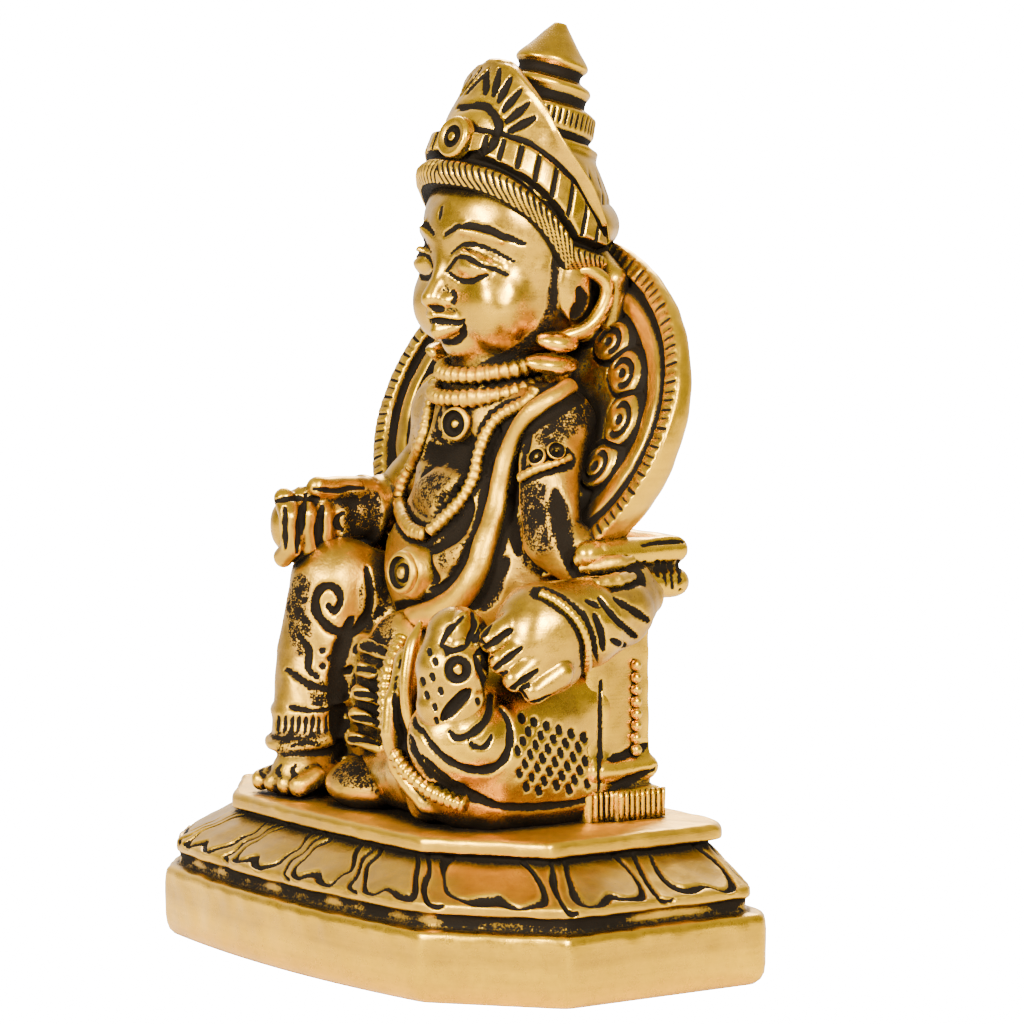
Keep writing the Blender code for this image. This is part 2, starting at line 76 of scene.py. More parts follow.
def sight(pixels):
    """The line of sight through each pixel: how far it runs along each axis for every mm ahead."""
    across, down = pixels[:, :1] - FRAME_SIDE / 2, pixels[:, 1:2] - FRAME_SIDE / 2
    return AHEAD + (across * RIGHT - down * ABOVE) / FOCAL_PIXELS


lens = bpy.data.cameras.new("studio_camera")
lens.sensor_width, lens.clip_start = 36.0, 0.01
lens.lens = lens.sensor_width * FOCAL_PIXELS / FRAME_SIDE
camera = bpy.data.objects.new("studio_camera", lens)
camera.location = EYE * MM
camera.rotation_euler = Vector(AHEAD).to_track_quat("-Z", "Y").to_euler()
bpy.context.collection.objects.link(camera)
bpy.context.scene.camera = camera
print("camera lens, mm:", round(lens.lens, 1))

# %% [markdown]
# ## Skins from arrays
#
# Everything below is an array of places and an array of triangles. A turned, lofted or swept form is a grid:
# its columns run round, its rows run on, and each end is closed by a fan to the middle of the end row.

# %% Grids, normals and meshes


def unit(v):
    """Vectors divided by their lengths."""
    return v / np.maximum(np.linalg.norm(v, axis=-1, keepdims=True), 1e-9)


def face_outwards(places, faces):
    """Turns a closed skin that is inside out: its tetrahedra to the origin add up to less than nothing."""
    a, b, c = (places[faces[:, i]] for i in range(3))
    return faces[:, ::-1] if np.einsum("ij,ij->", a, np.cross(b, c)) < 0 else faces


def grid_skin(grid, tube=False):
    """Triangles over a grid [row, column, xyz]: columns join round, and rows join too where tube is true."""
    rows, columns = grid.shape[:2]
    places, number = grid.reshape(-1, 3), np.arange(rows * columns).reshape(rows, columns)
    low, high = (number, np.roll(number, -1, 0)) if tube else (number[:-1], number[1:])
    low_next, high_next = np.roll(low, -1, 1), np.roll(high, -1, 1)
    faces = [np.stack([low, low_next, high_next], -1), np.stack([low, high_next, high], -1)]
    faces = [f.reshape(-1, 3) for f in faces]
    if not tube:
        ends = np.array([grid[0].mean(0), grid[-1].mean(0)])
        count = len(places)
        first, last = number[0], number[-1]
        faces.append(np.stack([np.roll(first, -1), first, np.full(columns, count)], -1))
        faces.append(np.stack([last, np.roll(last, -1), np.full(columns, count + 1)], -1))
        places = np.concatenate([places, ends])
    return places, face_outwards(places, np.concatenate(faces))


def normals_of(places, faces):
    """Each place's normal: the sum of the cross products of the triangles that meet there, made unit."""
    a, b, c = (places[faces[:, i]] for i in range(3))
    cross = np.cross(b - a, c - a)
    total = np.zeros_like(places)
    for axis in range(3):
        for corner in range(3):
            total[:, axis] += np.bincount(faces[:, corner], cross[:, axis], len(places))
    return unit(total)


def neighbour_mean(values, faces):
    """The mean of each place's neighbours, counted over the triangles' sides."""
    values = values.reshape(len(values), -1)
    start, end = faces[:, [0, 1, 2]].ravel(), faces[:, [1, 2, 0]].ravel()
    count = np.bincount(start, minlength=len(values)) + np.bincount(end, minlength=len(values))
    total = np.stack([np.bincount(start, v[end], len(values)) + np.bincount(end, v[start], len(values))
                      for v in values.T], -1)
    return total / np.maximum(count, 1)[:, None]


def merged(*skins):
    """Several closed skins as one pair of arrays, with the later ones' numbers moved on."""
    places, faces, count = [], [], 0
    for p, f in skins:
        places.append(p)
        faces.append(f + count)
        count += len(p)
    return np.concatenate(places), np.concatenate(faces)


# %% [markdown]
# ## Clay
#
# Limbs, cloth and the face melt into each other in the casting, as they did in the wax. Such a form has no
# tidy grid, so it is made another way: a block of space holds each place's distance to the clay, forms are
# melted into it with a soft minimum, and the skin is drawn where the distance is nought.

# %% Clay: a block of distances
FAR = 9.0
LIFT = np.array([0, 0, -0.2])     # the figure's own heights count from just under the floor


class Clay:
    """Distances on a regular grid of places."""

    def __init__(self, low, high, grain):
        self.low, self.grain = np.array(low, float), grain
        self.shape = tuple(np.ceil((np.array(high) - self.low) / grain).astype(int) + 1)
        self.distance = np.full(self.shape, FAR, np.float32)

    def melt(self, form, low, high, soft):
        """Soft minimum of two distances: min(a, b) - soft h h / 4, where h is 1 - |a - b| / soft, and
        nought where that is less than nought."""
        margin = soft + 3 * self.grain
        start = np.clip(((np.array(low) - margin - self.low) / self.grain).astype(int), 0, self.shape)
        stop = np.clip(((np.array(high) + margin - self.low) / self.grain).astype(int) + 1, 0, self.shape)
        if (stop <= start).any():
            return
        axes = [self.low[i] + self.grain * np.arange(start[i], stop[i]) for i in range(3)]
        places = np.stack(np.meshgrid(*axes, indexing="ij"), -1).astype(np.float32)
        cut = tuple(slice(a, b) for a, b in zip(start, stop))
        new, old = form(places), self.distance[cut]
        blend = np.maximum(soft - np.abs(old - new), 0) / soft
        self.distance[cut] = np.minimum(old, new) - blend * blend * soft / 4

    def at(self, places):
        """Distances between the grid's places, by the weights of the eight corners round each."""
        where = np.clip((places - self.low) / self.grain, 0, np.array(self.shape) - 1.001)
        corner = where.astype(int)
        part = where - corner
        total = 0
        for i in (0, 1):
            for j in (0, 1):
                for k in (0, 1):
                    weight = np.prod(np.where([i, j, k], part, 1 - part), -1)
                    cell = corner + [i, j, k]
                    total = total + weight * self.distance[cell[..., 0], cell[..., 1], cell[..., 2]]
        return total


# %% Forms to melt


def ball(clay, centre, radii, turn=(0, 0, 0), soft=0.8):
    """Ellipsoid: k0 (k0 - 1) / k1, where k0 is the length of the place divided by the radii, and k1 the
    length of the place divided by their squares."""
    centre, radii = np.array(centre) + LIFT, np.array(radii, float)
    turned = np.array(Euler([math.radians(a) for a in turn]).to_matrix())

    def form(places):
        own = (places - centre) @ turned
        k0 = np.linalg.norm(own / radii, axis=-1)
        k1 = np.linalg.norm(own / radii ** 2, axis=-1)
        return k0 * (k0 - 1) / np.maximum(k1, 1e-6)

    reach = radii.max()
    clay.melt(form, centre - reach, centre + reach, soft)


def bar(clay, points, radii, soft=0.8):
    """Round bar: the distance to the nearest place of each stretch, less a radius that changes along it."""
    points = np.array(points, float) + LIFT
    radii = np.broadcast_to(np.array(radii, float), len(points))
    reach = radii.max()

    def form(places):
        nearest = np.full(places.shape[:-1], FAR, np.float32)
        for a, b, ra, rb in zip(points, points[1:], radii, radii[1:]):
            along = b - a
            t = np.clip((places - a) @ along / (along @ along), 0, 1)
            off = np.linalg.norm(places - a - t[..., None] * along, axis=-1) - (ra + t * (rb - ra))
            nearest = np.minimum(nearest, off)
        return nearest

    clay.melt(form, points.min(0) - reach, points.max(0) + reach, soft)


def slab(clay, low, high, edge=0.4, soft=0.3):
    """Box with rounded edges: the length of what lies past its inner box, less the edge's radius."""
    low, high = np.array(low) + LIFT, np.array(high) + LIFT
    middle, half = (low + high) / 2, (high - low) / 2 - edge

    def form(places):
        past = np.abs(places - middle) - half
        outside = np.linalg.norm(np.maximum(past, 0), axis=-1)
        return outside + np.minimum(past.max(-1), 0) - edge

    clay.melt(form, low, high, soft)


def hoop(clay, centre, radius, wire, turn=(0, 0, 0), soft=0.3):
    """Ring: the distance to a circle, less the wire's radius."""
    centre = np.array(centre) + LIFT
    turned = np.array(Euler([math.radians(a) for a in turn]).to_matrix())

    def form(places):
        own = (places - centre) @ turned
        return np.hypot(np.hypot(own[..., 0], own[..., 1]) - radius, own[..., 2]) - wire

    clay.melt(form, centre - radius - wire, centre + radius + wire, soft)


def pair(points, side):
    """Points on the chosen side of the figure: 1 is its left, -1 its right."""
    return [(x * side, y, z) for x, y, z in points]


# %% Skin of the clay
EDGES = [((0, 0, 0), (1, 0, 0)), ((0, 1, 0), (1, 1, 0)), ((0, 0, 1), (1, 0, 1)), ((0, 1, 1), (1, 1, 1)),
         ((0, 0, 0), (0, 1, 0)), ((1, 0, 0), (1, 1, 0)), ((0, 0, 1), (0, 1, 1)), ((1, 0, 1), (1, 1, 1)),
         ((0, 0, 0), (0, 0, 1)), ((1, 0, 0), (1, 0, 1)), ((0, 1, 0), (0, 1, 1)), ((1, 1, 0), (1, 1, 1))]


def outer_skin(places, faces):
    """Keeps the largest skin. Every place takes the lowest number among its neighbours until nothing changes,
    so that all places of one skin end with the same number."""
    label = np.arange(len(places))
    start, end = faces[:, [0, 1, 2]].ravel(), faces[:, [1, 2, 0]].ravel()
    while True:
        lowest = label.copy()
        np.minimum.at(lowest, start, label[end])
        np.minimum.at(lowest, end, label[start])
        lowest = lowest[lowest]
        if (lowest == label).all():
            break
        label = lowest
    main = np.bincount(label).argmax()
    keep = label == main
    number = np.cumsum(keep) - 1
    return places[keep], number[faces[keep[faces[:, 0]]]]


def skin(clay):
    """A place in every cell that the surface crosses, at the mean of the crossings on its twelve edges, and
    two triangles across each grid line that is crossed. Then each place moves half way to the mean of its
    neighbours, which takes the steps off."""
    d = clay.distance
    inside = d < 0
    corners = sum(inside[i:d.shape[0] - 1 + i, j:d.shape[1] - 1 + j, k:d.shape[2] - 1 + k].astype(np.int8)
                  for i in (0, 1) for j in (0, 1) for k in (0, 1))
    crossed = (corners > 0) & (corners < 8)
    cell = np.argwhere(crossed)
    number = np.full(crossed.shape, -1)
    number[crossed] = np.arange(len(cell))
    total, count = np.zeros((len(cell), 3)), np.zeros(len(cell))
    for a, b in EDGES:
        da, db = (d[tuple((cell + e).T)] for e in (a, b))
        hit = (da < 0) != (db < 0)
        t = np.where(hit, da / np.where(hit, da - db, 1), 0)
        total += hit[:, None] * (np.array(a) + t[:, None] * (np.array(b) - np.array(a)))
        count += hit
    places = clay.low + clay.grain * (cell + total / count[:, None])
    faces = []
    for axis in range(3):
        one, two = [e for e in range(3) if e != axis]
        near = np.take(inside, range(d.shape[axis] - 1), axis)
        far = np.take(inside, range(1, d.shape[axis]), axis)
        line = np.argwhere(near != far)
        line = line[(line[:, one] > 0) & (line[:, two] > 0)
                    & (line[:, one] < d.shape[one] - 1) & (line[:, two] < d.shape[two] - 1)]
        step_one, step_two = np.eye(3, dtype=int)[one], np.eye(3, dtype=int)[two]
        four = ((1, 1), (0, 1), (0, 0), (1, 0))
        ring = [number[tuple((line - a * step_one - b * step_two).T)] for a, b in four]
        ring = np.stack(ring, -1)
        turn = near[tuple(line.T)] ^ (axis == 1)
        ring = np.where(turn[:, None], ring, ring[:, ::-1])
        faces += [ring[:, [0, 1, 2]], ring[:, [0, 2, 3]]]
    faces = np.concatenate(faces)
    places, faces = outer_skin(places, face_outwards(places, faces))
    return places * 0.5 + neighbour_mean(places, faces) * 0.5, faces


# %% [markdown]
# ## Bars, turned pieces and what lies on the clay
#
# Cords, the garland and the rims are a circle carried along a path. Bosses and rings are a profile turned
# about an axis. A cord that lies on the body is laid out in the picture, and each of its points slides along
# its line of sight until it meets the clay.

# %% Paths, cords and turned profiles


def smooth_path(points, spacing=0.25):
    """A cubic curve through the points, with the slope at each taken from its neighbours, in even steps."""
    points = np.array(points, float)
    before = np.concatenate([2 * points[:1] - points[1:2], points[:-1]])
    after = np.concatenate([points[1:], 2 * points[-1:] - points[-2:-1]])
    beyond = np.concatenate([after[1:], 2 * after[-1:] - after[-2:-1]])
    t = np.linspace(0, 1, 24, endpoint=False)[None, :, None]
    a, b, c, d = (p[:-1, None] for p in (before, points, after, beyond))
    curve = 0.5 * (2 * b + (c - a) * t + (2 * a - 5 * b + 4 * c - d) * t ** 2
                   + (3 * b - a - 3 * c + d) * t ** 3)
    curve = np.concatenate([curve.reshape(-1, curve.shape[-1]), points[-1:]])
    length = np.concatenate([[0], np.cumsum(np.linalg.norm(np.diff(curve, axis=0), axis=1))])
    steps = max(4, int(round(length[-1] / spacing)))
    even = np.linspace(0, length[-1], steps)
    return np.stack([np.interp(even, length, curve[:, i]) for i in range(curve.shape[1])], -1)


def cord(path, radius, sides=12, up=(0.3, 0.2, 1), flat=1.0, closed=False, ribs=0.0, pitch=0.7):
    """Circles carried square to the path. Ribs swell the radius as a cosine of the length run."""
    run = np.roll(path, -1, 0) - np.roll(path, 1, 0) if closed else np.gradient(path, axis=0)
    along = unit(run)
    side = unit(np.cross(along, np.array(up, float)))
    lift = np.cross(side, along)
    length = np.concatenate([[0], np.cumsum(np.linalg.norm(np.diff(path, axis=0), axis=1))])
    turn = np.linspace(0, math.tau, sides, endpoint=False)
    swell = 1 + ribs * np.cos(math.tau * (length[:, None] / pitch))
    reach = np.broadcast_to(np.array(radius, float), len(path))[:, None] * swell
    grid = path[:, None] + reach[..., None] * (np.cos(turn)[None, :, None] * side[:, None]
                                               + flat * np.sin(turn)[None, :, None] * lift[:, None])
    return grid_skin(grid, tube=closed)


def turned(profile, centre, axis, sides=48):
    """A profile of (radius, height) pairs turned about an axis through the centre."""
    axis = unit(np.array(axis, float))
    side = unit(np.cross(axis, [0.31, 0.11, 0.94]))
    other = np.cross(axis, side)
    angle = np.linspace(0, math.tau, sides, endpoint=False)
    ring = np.cos(angle)[:, None] * side + np.sin(angle)[:, None] * other
    radius, height = np.array(profile, float).T
    return grid_skin(np.array(centre) + radius[:, None, None] * ring + height[:, None, None] * axis)


def bead(centre, radius, sides=12):
    """A ball: radius times sine and cosine of the height's angle, turned."""
    rise = np.linspace(-0.46, 0.46, 7) * math.pi
    return turned(np.stack([radius * np.cos(rise), radius * np.sin(rise)], -1), centre, (0, 0, 1), sides)


# %% Landing on the clay
NEAREST, DEEPEST, SLIDE = 440.0, 560.0, 0.1      # mm from the eye between which the clay lies, and the step


def landed(clay, pixels):
    """Slides each point of a line in the picture along its line of sight to the first place of the clay."""
    pixels = np.array(pixels, float)
    depth = np.arange(NEAREST, DEEPEST, SLIDE)
    places = EYE + sight(pixels)[:, None] * depth[None, :, None]
    end = clay.low + clay.grain * (np.array(clay.shape) - 1)
    inside = (places >= clay.low).all(-1) & (places <= end).all(-1)
    hit = np.where(inside, clay.at(places), FAR) < 0
    first = hit.argmax(1)
    found = hit.any(1)
    spot = places[np.arange(len(pixels)), first]
    return spot[found]


def outward(clay, places, reach=0.4):
    """The clay's own normal: how the distance changes a short way along each axis, made unit."""
    slope = [clay.at(places + reach * e) - clay.at(places - reach * e) for e in np.eye(3)]
    return unit(np.stack(slope, -1))


print("helpers ready")

# %% [markdown]
# ## The casting
#
# Each skin is kept as arrays until all are made, with a number at every place that says how deep the carving
# is there: 0 on the bare metal and 1 at the bottom of a groove, where the black stays.

# %% A place to keep the skins
CAST = {}


def keep(name, skin, carved=None, rough=0.0):
    """Files a closed skin under its piece, with how far each place is carved and how coarse it is left."""
    places, faces = skin
    carved = np.zeros(len(places)) if carved is None else carved
    CAST.setdefault(name, []).append([places, faces, carved, np.full(len(places), rough)])


def groove(offset, half_width):
    """How deep a chased line is at an offset from its middle: one less the square of their ratio."""
    return np.clip(1 - (offset / half_width) ** 2, 0, 1) ** 1.2


def near_line(places, line):
    """Least distance from each place to a line of straight stretches, in the plane or in space, and how far
    along the line that nearest point lies."""
    least, reached, start = np.full(len(places), 1e9), np.zeros(len(places)), 0.0
    for a, b in zip(line, line[1:]):
        along = b - a
        t = np.clip((places - a) @ along / max(along @ along, 1e-9), 0, 1)
        off = np.linalg.norm(places - a - t[:, None] * along, axis=1)
        reached = np.where(off < least, start + t * np.linalg.norm(along), reached)
        least, start = np.minimum(least, off), start + np.linalg.norm(along)
    return least, reached


def off_line(places, line):
    """The distance alone."""
    return near_line(places, line)[0]


# %% [markdown]
# ## Lotus base
#
# The base is a filed plinth, a black groove, a sloping tier of lotus petals and the slab under the figure.
# Its outline is a rectangle with cut front corners and a bowed front. The grid's columns keep to the same
# share of the same side at every height, so the tier leans in from the plinth's outline to the slab's.

# %% Lotus base: sizes in mm
PLINTH = dict(half=33.2, front=17.2, back=17.0, wide=10.8, deep=9.4, bow=1.8)
SLAB = dict(half=26.8, front=13.0, back=16.5, wide=10.2, deep=7.6, bow=0.8)
REAR_CHAMFER = 1.8
PLINTH_TOP, TIER_BOTTOM, TIER_LIP, TIER_TOP, SLAB_TOP = 6.8, 8.1, 9.2, 12.6, 14.5
GROOVE_DEPTH, TIER_INSET, FOOT_ROUND, SLAB_EDGE = 1.4, 0.6, 0.8, 0.5
SIDE_PETALS = [2, 1, 4, 1, 2, 0, 0, 0]    # left side, left cut, front, right cut, right side, back
FINE, COARSE = 0.2, 1.0          # spacing of the grid where it is carved and where it is plain


def base_ring(size, inset, side, share):
    """Places on a rectangle with cut corners: a side's start and end mixed by the share, the front bowed."""
    x, front, back = size["half"] - inset, size["front"] - inset, size["back"] - inset
    wide, deep = size["wide"] - 0.6 * inset, size["deep"] - 0.6 * inset
    corner = np.array([(x, back - REAR_CHAMFER), (x, deep - front), (x - wide, -front), (wide - x, -front),
                       (-x, deep - front), (-x, back - REAR_CHAMFER), (REAR_CHAMFER - x, back),
                       (x - REAR_CHAMFER, back)])
    place = corner[side] * (1 - share[:, None]) + corner[(side + 1) % 8] * share[:, None]
    bowed = size["bow"] * (1 - (2 * share - 1) ** 2) * (side == 2)
    place[:, 1] -= bowed
    return place


def blurred(values, times, wrap):
    """Each value becomes half itself and a quarter of each neighbour, so many times over."""
    for _ in range(times):
        if wrap:
            values = values / 2 + (np.roll(values, 1, 1) + np.roll(values, -1, 1)) / 4
        else:
            inner = values[1:-1] / 2 + (values[:-2] + values[2:]) / 4
            values = np.concatenate([values[:1], inner, values[-1:]])
    return values


def between_rows(rows, spacing):
    """Fills in rows between the key rows, each stretch in even steps of about its own spacing."""
    run = np.linalg.norm(np.diff(rows, axis=0), axis=2).mean(1)
    steps = np.maximum(1, np.round(run / spacing)).astype(int)
    part = np.repeat(np.arange(len(steps)), steps)
    mix = np.concatenate([np.arange(n) / n for n in steps])[:, None, None]
    return np.concatenate([rows[part] * (1 - mix) + rows[part + 1] * mix, rows[-1:]])


# %% Lotus base: the grid
side_length = [24.8, 14.3, 44.8, 14.3, 24.8, 2.5, 62.8, 2.5]      # mm, in the order of SIDE_PETALS
side_steps = [round(n / (FINE if petals else COARSE)) for n, petals in zip(side_length, SIDE_PETALS)]
side = np.repeat(np.arange(8), side_steps)
share = np.concatenate([np.arange(n) / n for n in side_steps])
petals = np.array(SIDE_PETALS)[side]
across = np.where(petals > 0, (share * petals) % 1 - 0.5, 0.5)      # -0.5 to 0.5 over each petal
pitch = np.array(side_length)[side] / np.maximum(petals, 1)
lobe = np.where(petals > 0, np.cos(math.pi * across) ** 0.7, 0)

# height, share of the way from the plinth's outline to the slab's, inset, and how far the petals swell there
base_levels = [(0.0, 0, FOOT_ROUND, 0), (0.25, 0, 0.25, 0), (FOOT_ROUND, 0, 0.0, 0),
               (PLINTH_TOP - 0.6, 0, 0.0, 0), (PLINTH_TOP - 0.15, 0, 0.2, 0), (PLINTH_TOP, 0, 0.6, 0),
               (PLINTH_TOP + 0.15, 0, GROOVE_DEPTH, 0), (TIER_BOTTOM - 0.1, 0, GROOVE_DEPTH, 0),
               (TIER_BOTTOM + 0.15, 0, TIER_INSET + 0.5, 0.5), (TIER_LIP, 0, TIER_INSET + 0.6, 0.6),
               (11.5, 0.7, 1.0, 0.7), (TIER_TOP, 1, 2 * SLAB_EDGE, 0.0), (TIER_TOP + 0.3, 1, 0.0, 0),
               (SLAB_TOP - SLAB_EDGE, 1, 0.0, 0), (SLAB_TOP - 0.1, 1, 0.25, 0), (SLAB_TOP, 1, 0.8, 0)]
rows = []
for height, lean, inset, swell in base_levels:
    ring = (1 - lean) * base_ring(PLINTH, inset, side, share) + lean * base_ring(SLAB, inset, side, share)
    ring = ring + unit(ring) * (swell * lobe)[:, None]
    rows.append(np.column_stack([ring, np.full(len(ring), height)]))
rows = np.array(rows)
base = between_rows(rows, [FINE if low[0] >= PLINTH_TOP - 0.6 else COARSE for low in base_levels[:-1]])
base = blurred(blurred(base, 2, False), 12, True)
print("base grid:", base.shape[:2])

# %% [markdown]
# The petals are chased into the tier as lines: a broad tongue with a bracket-shaped end, and between two
# tongues a leaf tip that curls over. Each line is laid out over one petal, in mm along the side and in
# shares of the tier's height. The same lines go into every petal, but a slow wave leads the graver astray and
# makes it press more and less firmly, so that no two petals come out alike.

# %% Lotus base: chased petals
TONGUE = np.array([(-0.31, 1.05), (-0.36, 0.82), (-0.37, 0.6), (-0.31, 0.42), (-0.2, 0.33), (-0.1, 0.33),
                   (-0.01, 0.38), (0.08, 0.33), (0.2, 0.31), (0.31, 0.38), (0.37, 0.55), (0.37, 0.8),
                   (0.31, 1.05)])
TIP = np.array([(0.49, 1.05), (0.5, 0.8), (0.51, 0.5), (0.48, 0.26), (0.42, 0.18), (0.37, 0.2)])
HAND, PETAL_CUT = 0.3, 0.5        # mm that the graver strays from the pattern, and that it cuts in
TIER_HEIGHT = TIER_TOP - TIER_BOTTOM - 0.4
SLOPE = 1.35                      # how much longer the way up the tier is than its height


def carve_petals(base):
    """How deep the nearest petal line is at each place of the tier, from 0 to 1."""
    up = (base[:, :, 2] - TIER_BOTTOM) / TIER_HEIGHT
    along = np.broadcast_to(across * pitch, up.shape)
    depth = np.zeros(up.shape)
    on_tier = (up > 0.02) & (up < 1.1) & np.broadcast_to(petals > 0, up.shape)
    for width in np.unique(pitch[petals > 0]):
        here = on_tier & (np.broadcast_to(pitch, up.shape) == width)
        x, y, z = base[here].T
        stray_along = HAND * np.sin(0.83 * x + 1.27 * y + 1.9 * z)
        stray_up = HAND * np.sin(1.13 * x - 0.71 * y + 1.1 * z + 1)
        flat = np.column_stack([along[here] + stray_along, up[here] * TIER_HEIGHT * SLOPE + stray_up])
        firm = np.clip(0.8 + 0.45 * np.sin(0.47 * x + 0.9 * y) * np.sin(0.31 * x - 0.4 * y + 2), 0.4, 1)
        for line, half in ((TONGUE, 0.5), (TIP, 0.4), (TIP - [1, 0], 0.4)):
            drawn = smooth_path(line * [width, TIER_HEIGHT * SLOPE], 0.3)
            depth[here] = np.maximum(depth[here], firm * groove(off_line(flat, drawn), half * firm))
    return depth


petal_depth = carve_petals(base)
faces = grid_skin(base)[1]
normal = normals_of(base.reshape(-1, 3), faces[(faces < base.shape[0] * base.shape[1]).all(1)])
base = base - PETAL_CUT * petal_depth[..., None] * normal.reshape(base.shape)
x, y, z = base.transpose(2, 0, 1)
worn = 0.5 + 0.5 * np.sin(0.9 * x + 1.7 * np.sin(0.35 * y)) * np.sin(0.37 * x + 2)
in_groove = np.exp(-((z - (PLINTH_TOP + 0.95)) / 0.5) ** 4)
under_slab = np.exp(-((z - (TIER_TOP + 0.05)) / 0.35) ** 2)
sides_only = np.broadcast_to(petals > 0, in_groove.shape)
black = np.where(sides_only, np.maximum(0.5 * in_groove, 0.8 * under_slab), 0.2 * in_groove)
base_carved = np.maximum(petal_depth, black) - 1.1 * (1 - worn) ** 2 * in_groove
places, faces = grid_skin(base)
coarse = np.interp(places[:, 2], [PLINTH_TOP, TIER_BOTTOM, TIER_TOP, SLAB_TOP - 0.1, SLAB_TOP],
                   [0.05, 0.3, 0.3, 0.2, 0.5])
keep("lotus_base", (places, faces), np.append(base_carved.ravel(), [0, 0]), coarse)

# %% [markdown]
# ## Halo
#
# The halo is an upright oval plate that leans back with the figure and grows thicker downwards. Its front is
# turned like a dish: a roped rim, a black groove, a plain band, and a sunk field chased with lobes. One grid
# holds it, with the angle round the oval and the way across its section as the two parameters.

# %% Halo
HALO_CENTRE, HALO_LEAN = np.array([0, 9.75, 52.0]), 0.4
HALO_WIDE, HALO_TALL = 24.15, 17.1
ROPE_RIBS = 118
LOBES, LOBE_START = 18, 0.10      # lobes right round, and how many lobes the first lies above the middle
LOBE_INSET = 7.9                  # how far inside the rim the lobes' middles lie


def halo_place(angle, inset, sink):
    """The oval's angle gives x and z, shrunk by the inset, and y leans back with the height and sinks in."""
    z = (HALO_TALL - 0.93 * inset) * np.sin(angle)
    x = (HALO_WIDE - inset) * np.cos(angle)
    return np.stack([x, HALO_LEAN * z + sink, z], -1) + HALO_CENTRE + LIFT


def halo_skin():
    """Grid of the angle and the section: back, edge, rope rim, groove, band, field."""
    angle = np.linspace(0, math.tau, 540, endpoint=False)
    section = [(14.0, -1, 0.0), (6.0, -1, 0.0), (1.6, -1, -0.05), (0.5, -1, -0.3), (0.05, -1, -0.9),
               (0.0, 0.75, 0), (0.0, 0.35, 0), (0.25, 0.0, 0), (1.1, -0.12, 0), (2.0, 0.0, 0),
               (2.25, 0.6, 0), (2.5, 1.0, 0), (3.1, 1.0, 0), (3.4, 0.5, 0), (4.2, 0.4, 0), (5.0, 0.5, 0),
               (5.3, 0.8, 0), (9.5, 0.7, 0), (12.0, 0.9, 0), (15.0, 1.0, 0), (15.6, 1.0, 0)]
    keys = []
    for inset, sink, back in section:
        drop = HALO_TALL - (HALO_TALL - 0.93 * inset) * np.sin(angle)
        depth = 1.5 + 0.117 * drop + back if sink < -0.5 else np.full(len(angle), sink)
        keys.append(np.column_stack([np.full(len(angle), inset), depth]))
    plain = 5                     # the first stretches are the back and the edge
    spacing = [0.8] * plain + [0.22] * (len(keys) - 1 - plain)
    grid = blurred(between_rows(np.array(keys), spacing), 2, False)
    inset, depth = grid[..., 0], grid[..., 1]
    front = np.arange(len(grid))[:, None] > len(between_rows(np.array(keys[:plain + 1]), spacing[:plain]))
    ribs = np.broadcast_to(np.abs(np.sin(angle * ROPE_RIBS / 2)), depth.shape)
    on_rim = front * np.exp(-((inset - 1.1) / 0.85) ** 6)
    carved = on_rim * np.clip(1 - ribs * 2.6, 0, 1)
    depth = depth + on_rim * 0.28 * (1 - ribs ** 0.6)
    channel = front * np.exp(-((inset - 2.75) / 0.55) ** 4)
    carved = np.maximum(carved, channel)
    reach, open_side, reach_arc = np.full(depth.shape, 1e3), np.zeros(depth.shape), np.zeros(depth.shape)
    run = np.cumsum(np.hypot((HALO_WIDE - LOBE_INSET) * np.sin(angle),
                             (HALO_TALL - LOBE_INSET) * np.cos(angle)))
    run = run * (angle[1] - angle[0])
    spread = run[-1] / LOBES
    for number in range(LOBES):
        place = (number + LOBE_START) * run[-1] / LOBES
        right, left = run, run[-1] / 2 - run
        arc = np.where(np.cos(angle) >= 0, right, left) - place
        arc = (arc + run[-1] / 2) % run[-1] - run[-1] / 2
        own = np.hypot(arc[None, :], (inset - LOBE_INSET) * 1.05)
        open_side = np.where(own < reach, (LOBE_INSET + 0.2 - inset) / np.maximum(own, 0.1), open_side)
        reach_arc = np.where(own < reach, arc[None, :], reach_arc)
        reach = np.minimum(reach, own)
    field = front * (inset > 5.1)
    domes = field * np.clip(1 - (reach / 2.75) ** 6, 0, 1) * 0.8
    inner = groove(reach - 1.35, 0.36) * np.clip(open_side * 2 + 1.1, 0, 1)
    lines = field * np.maximum.reduce([groove(reach - 2.7, 0.45), inner,
                                       groove(spread / 2 - np.abs(reach_arc), 0.3) * (reach < 2.7),
                                       groove(reach, 0.55)])
    depth = depth - domes + 0.4 * lines
    dark = field * np.clip((reach - 2.6) / 0.3, 0, 1) * np.clip((9.4 - inset) / 0.8, 0, 1)
    carved = np.maximum.reduce([carved, 1.3 * lines, dark, 0.35 * field * (inset > 9)])
    places, faces = grid_skin(halo_place(angle[None, :], inset, depth))
    return (places, faces), np.append(carved.ravel(), [0, 0])


keep("halo", *halo_skin())
print("halo:", len(CAST["halo"][0][1]), "triangles")

# %% [markdown]
# ## Back of the throne
#
# Behind the hips stands a low wall with a fluted foot, a row of beads up each end and two round rails across
# its top, which run on behind the elbows. Its corners are soft, so it is clay as well.

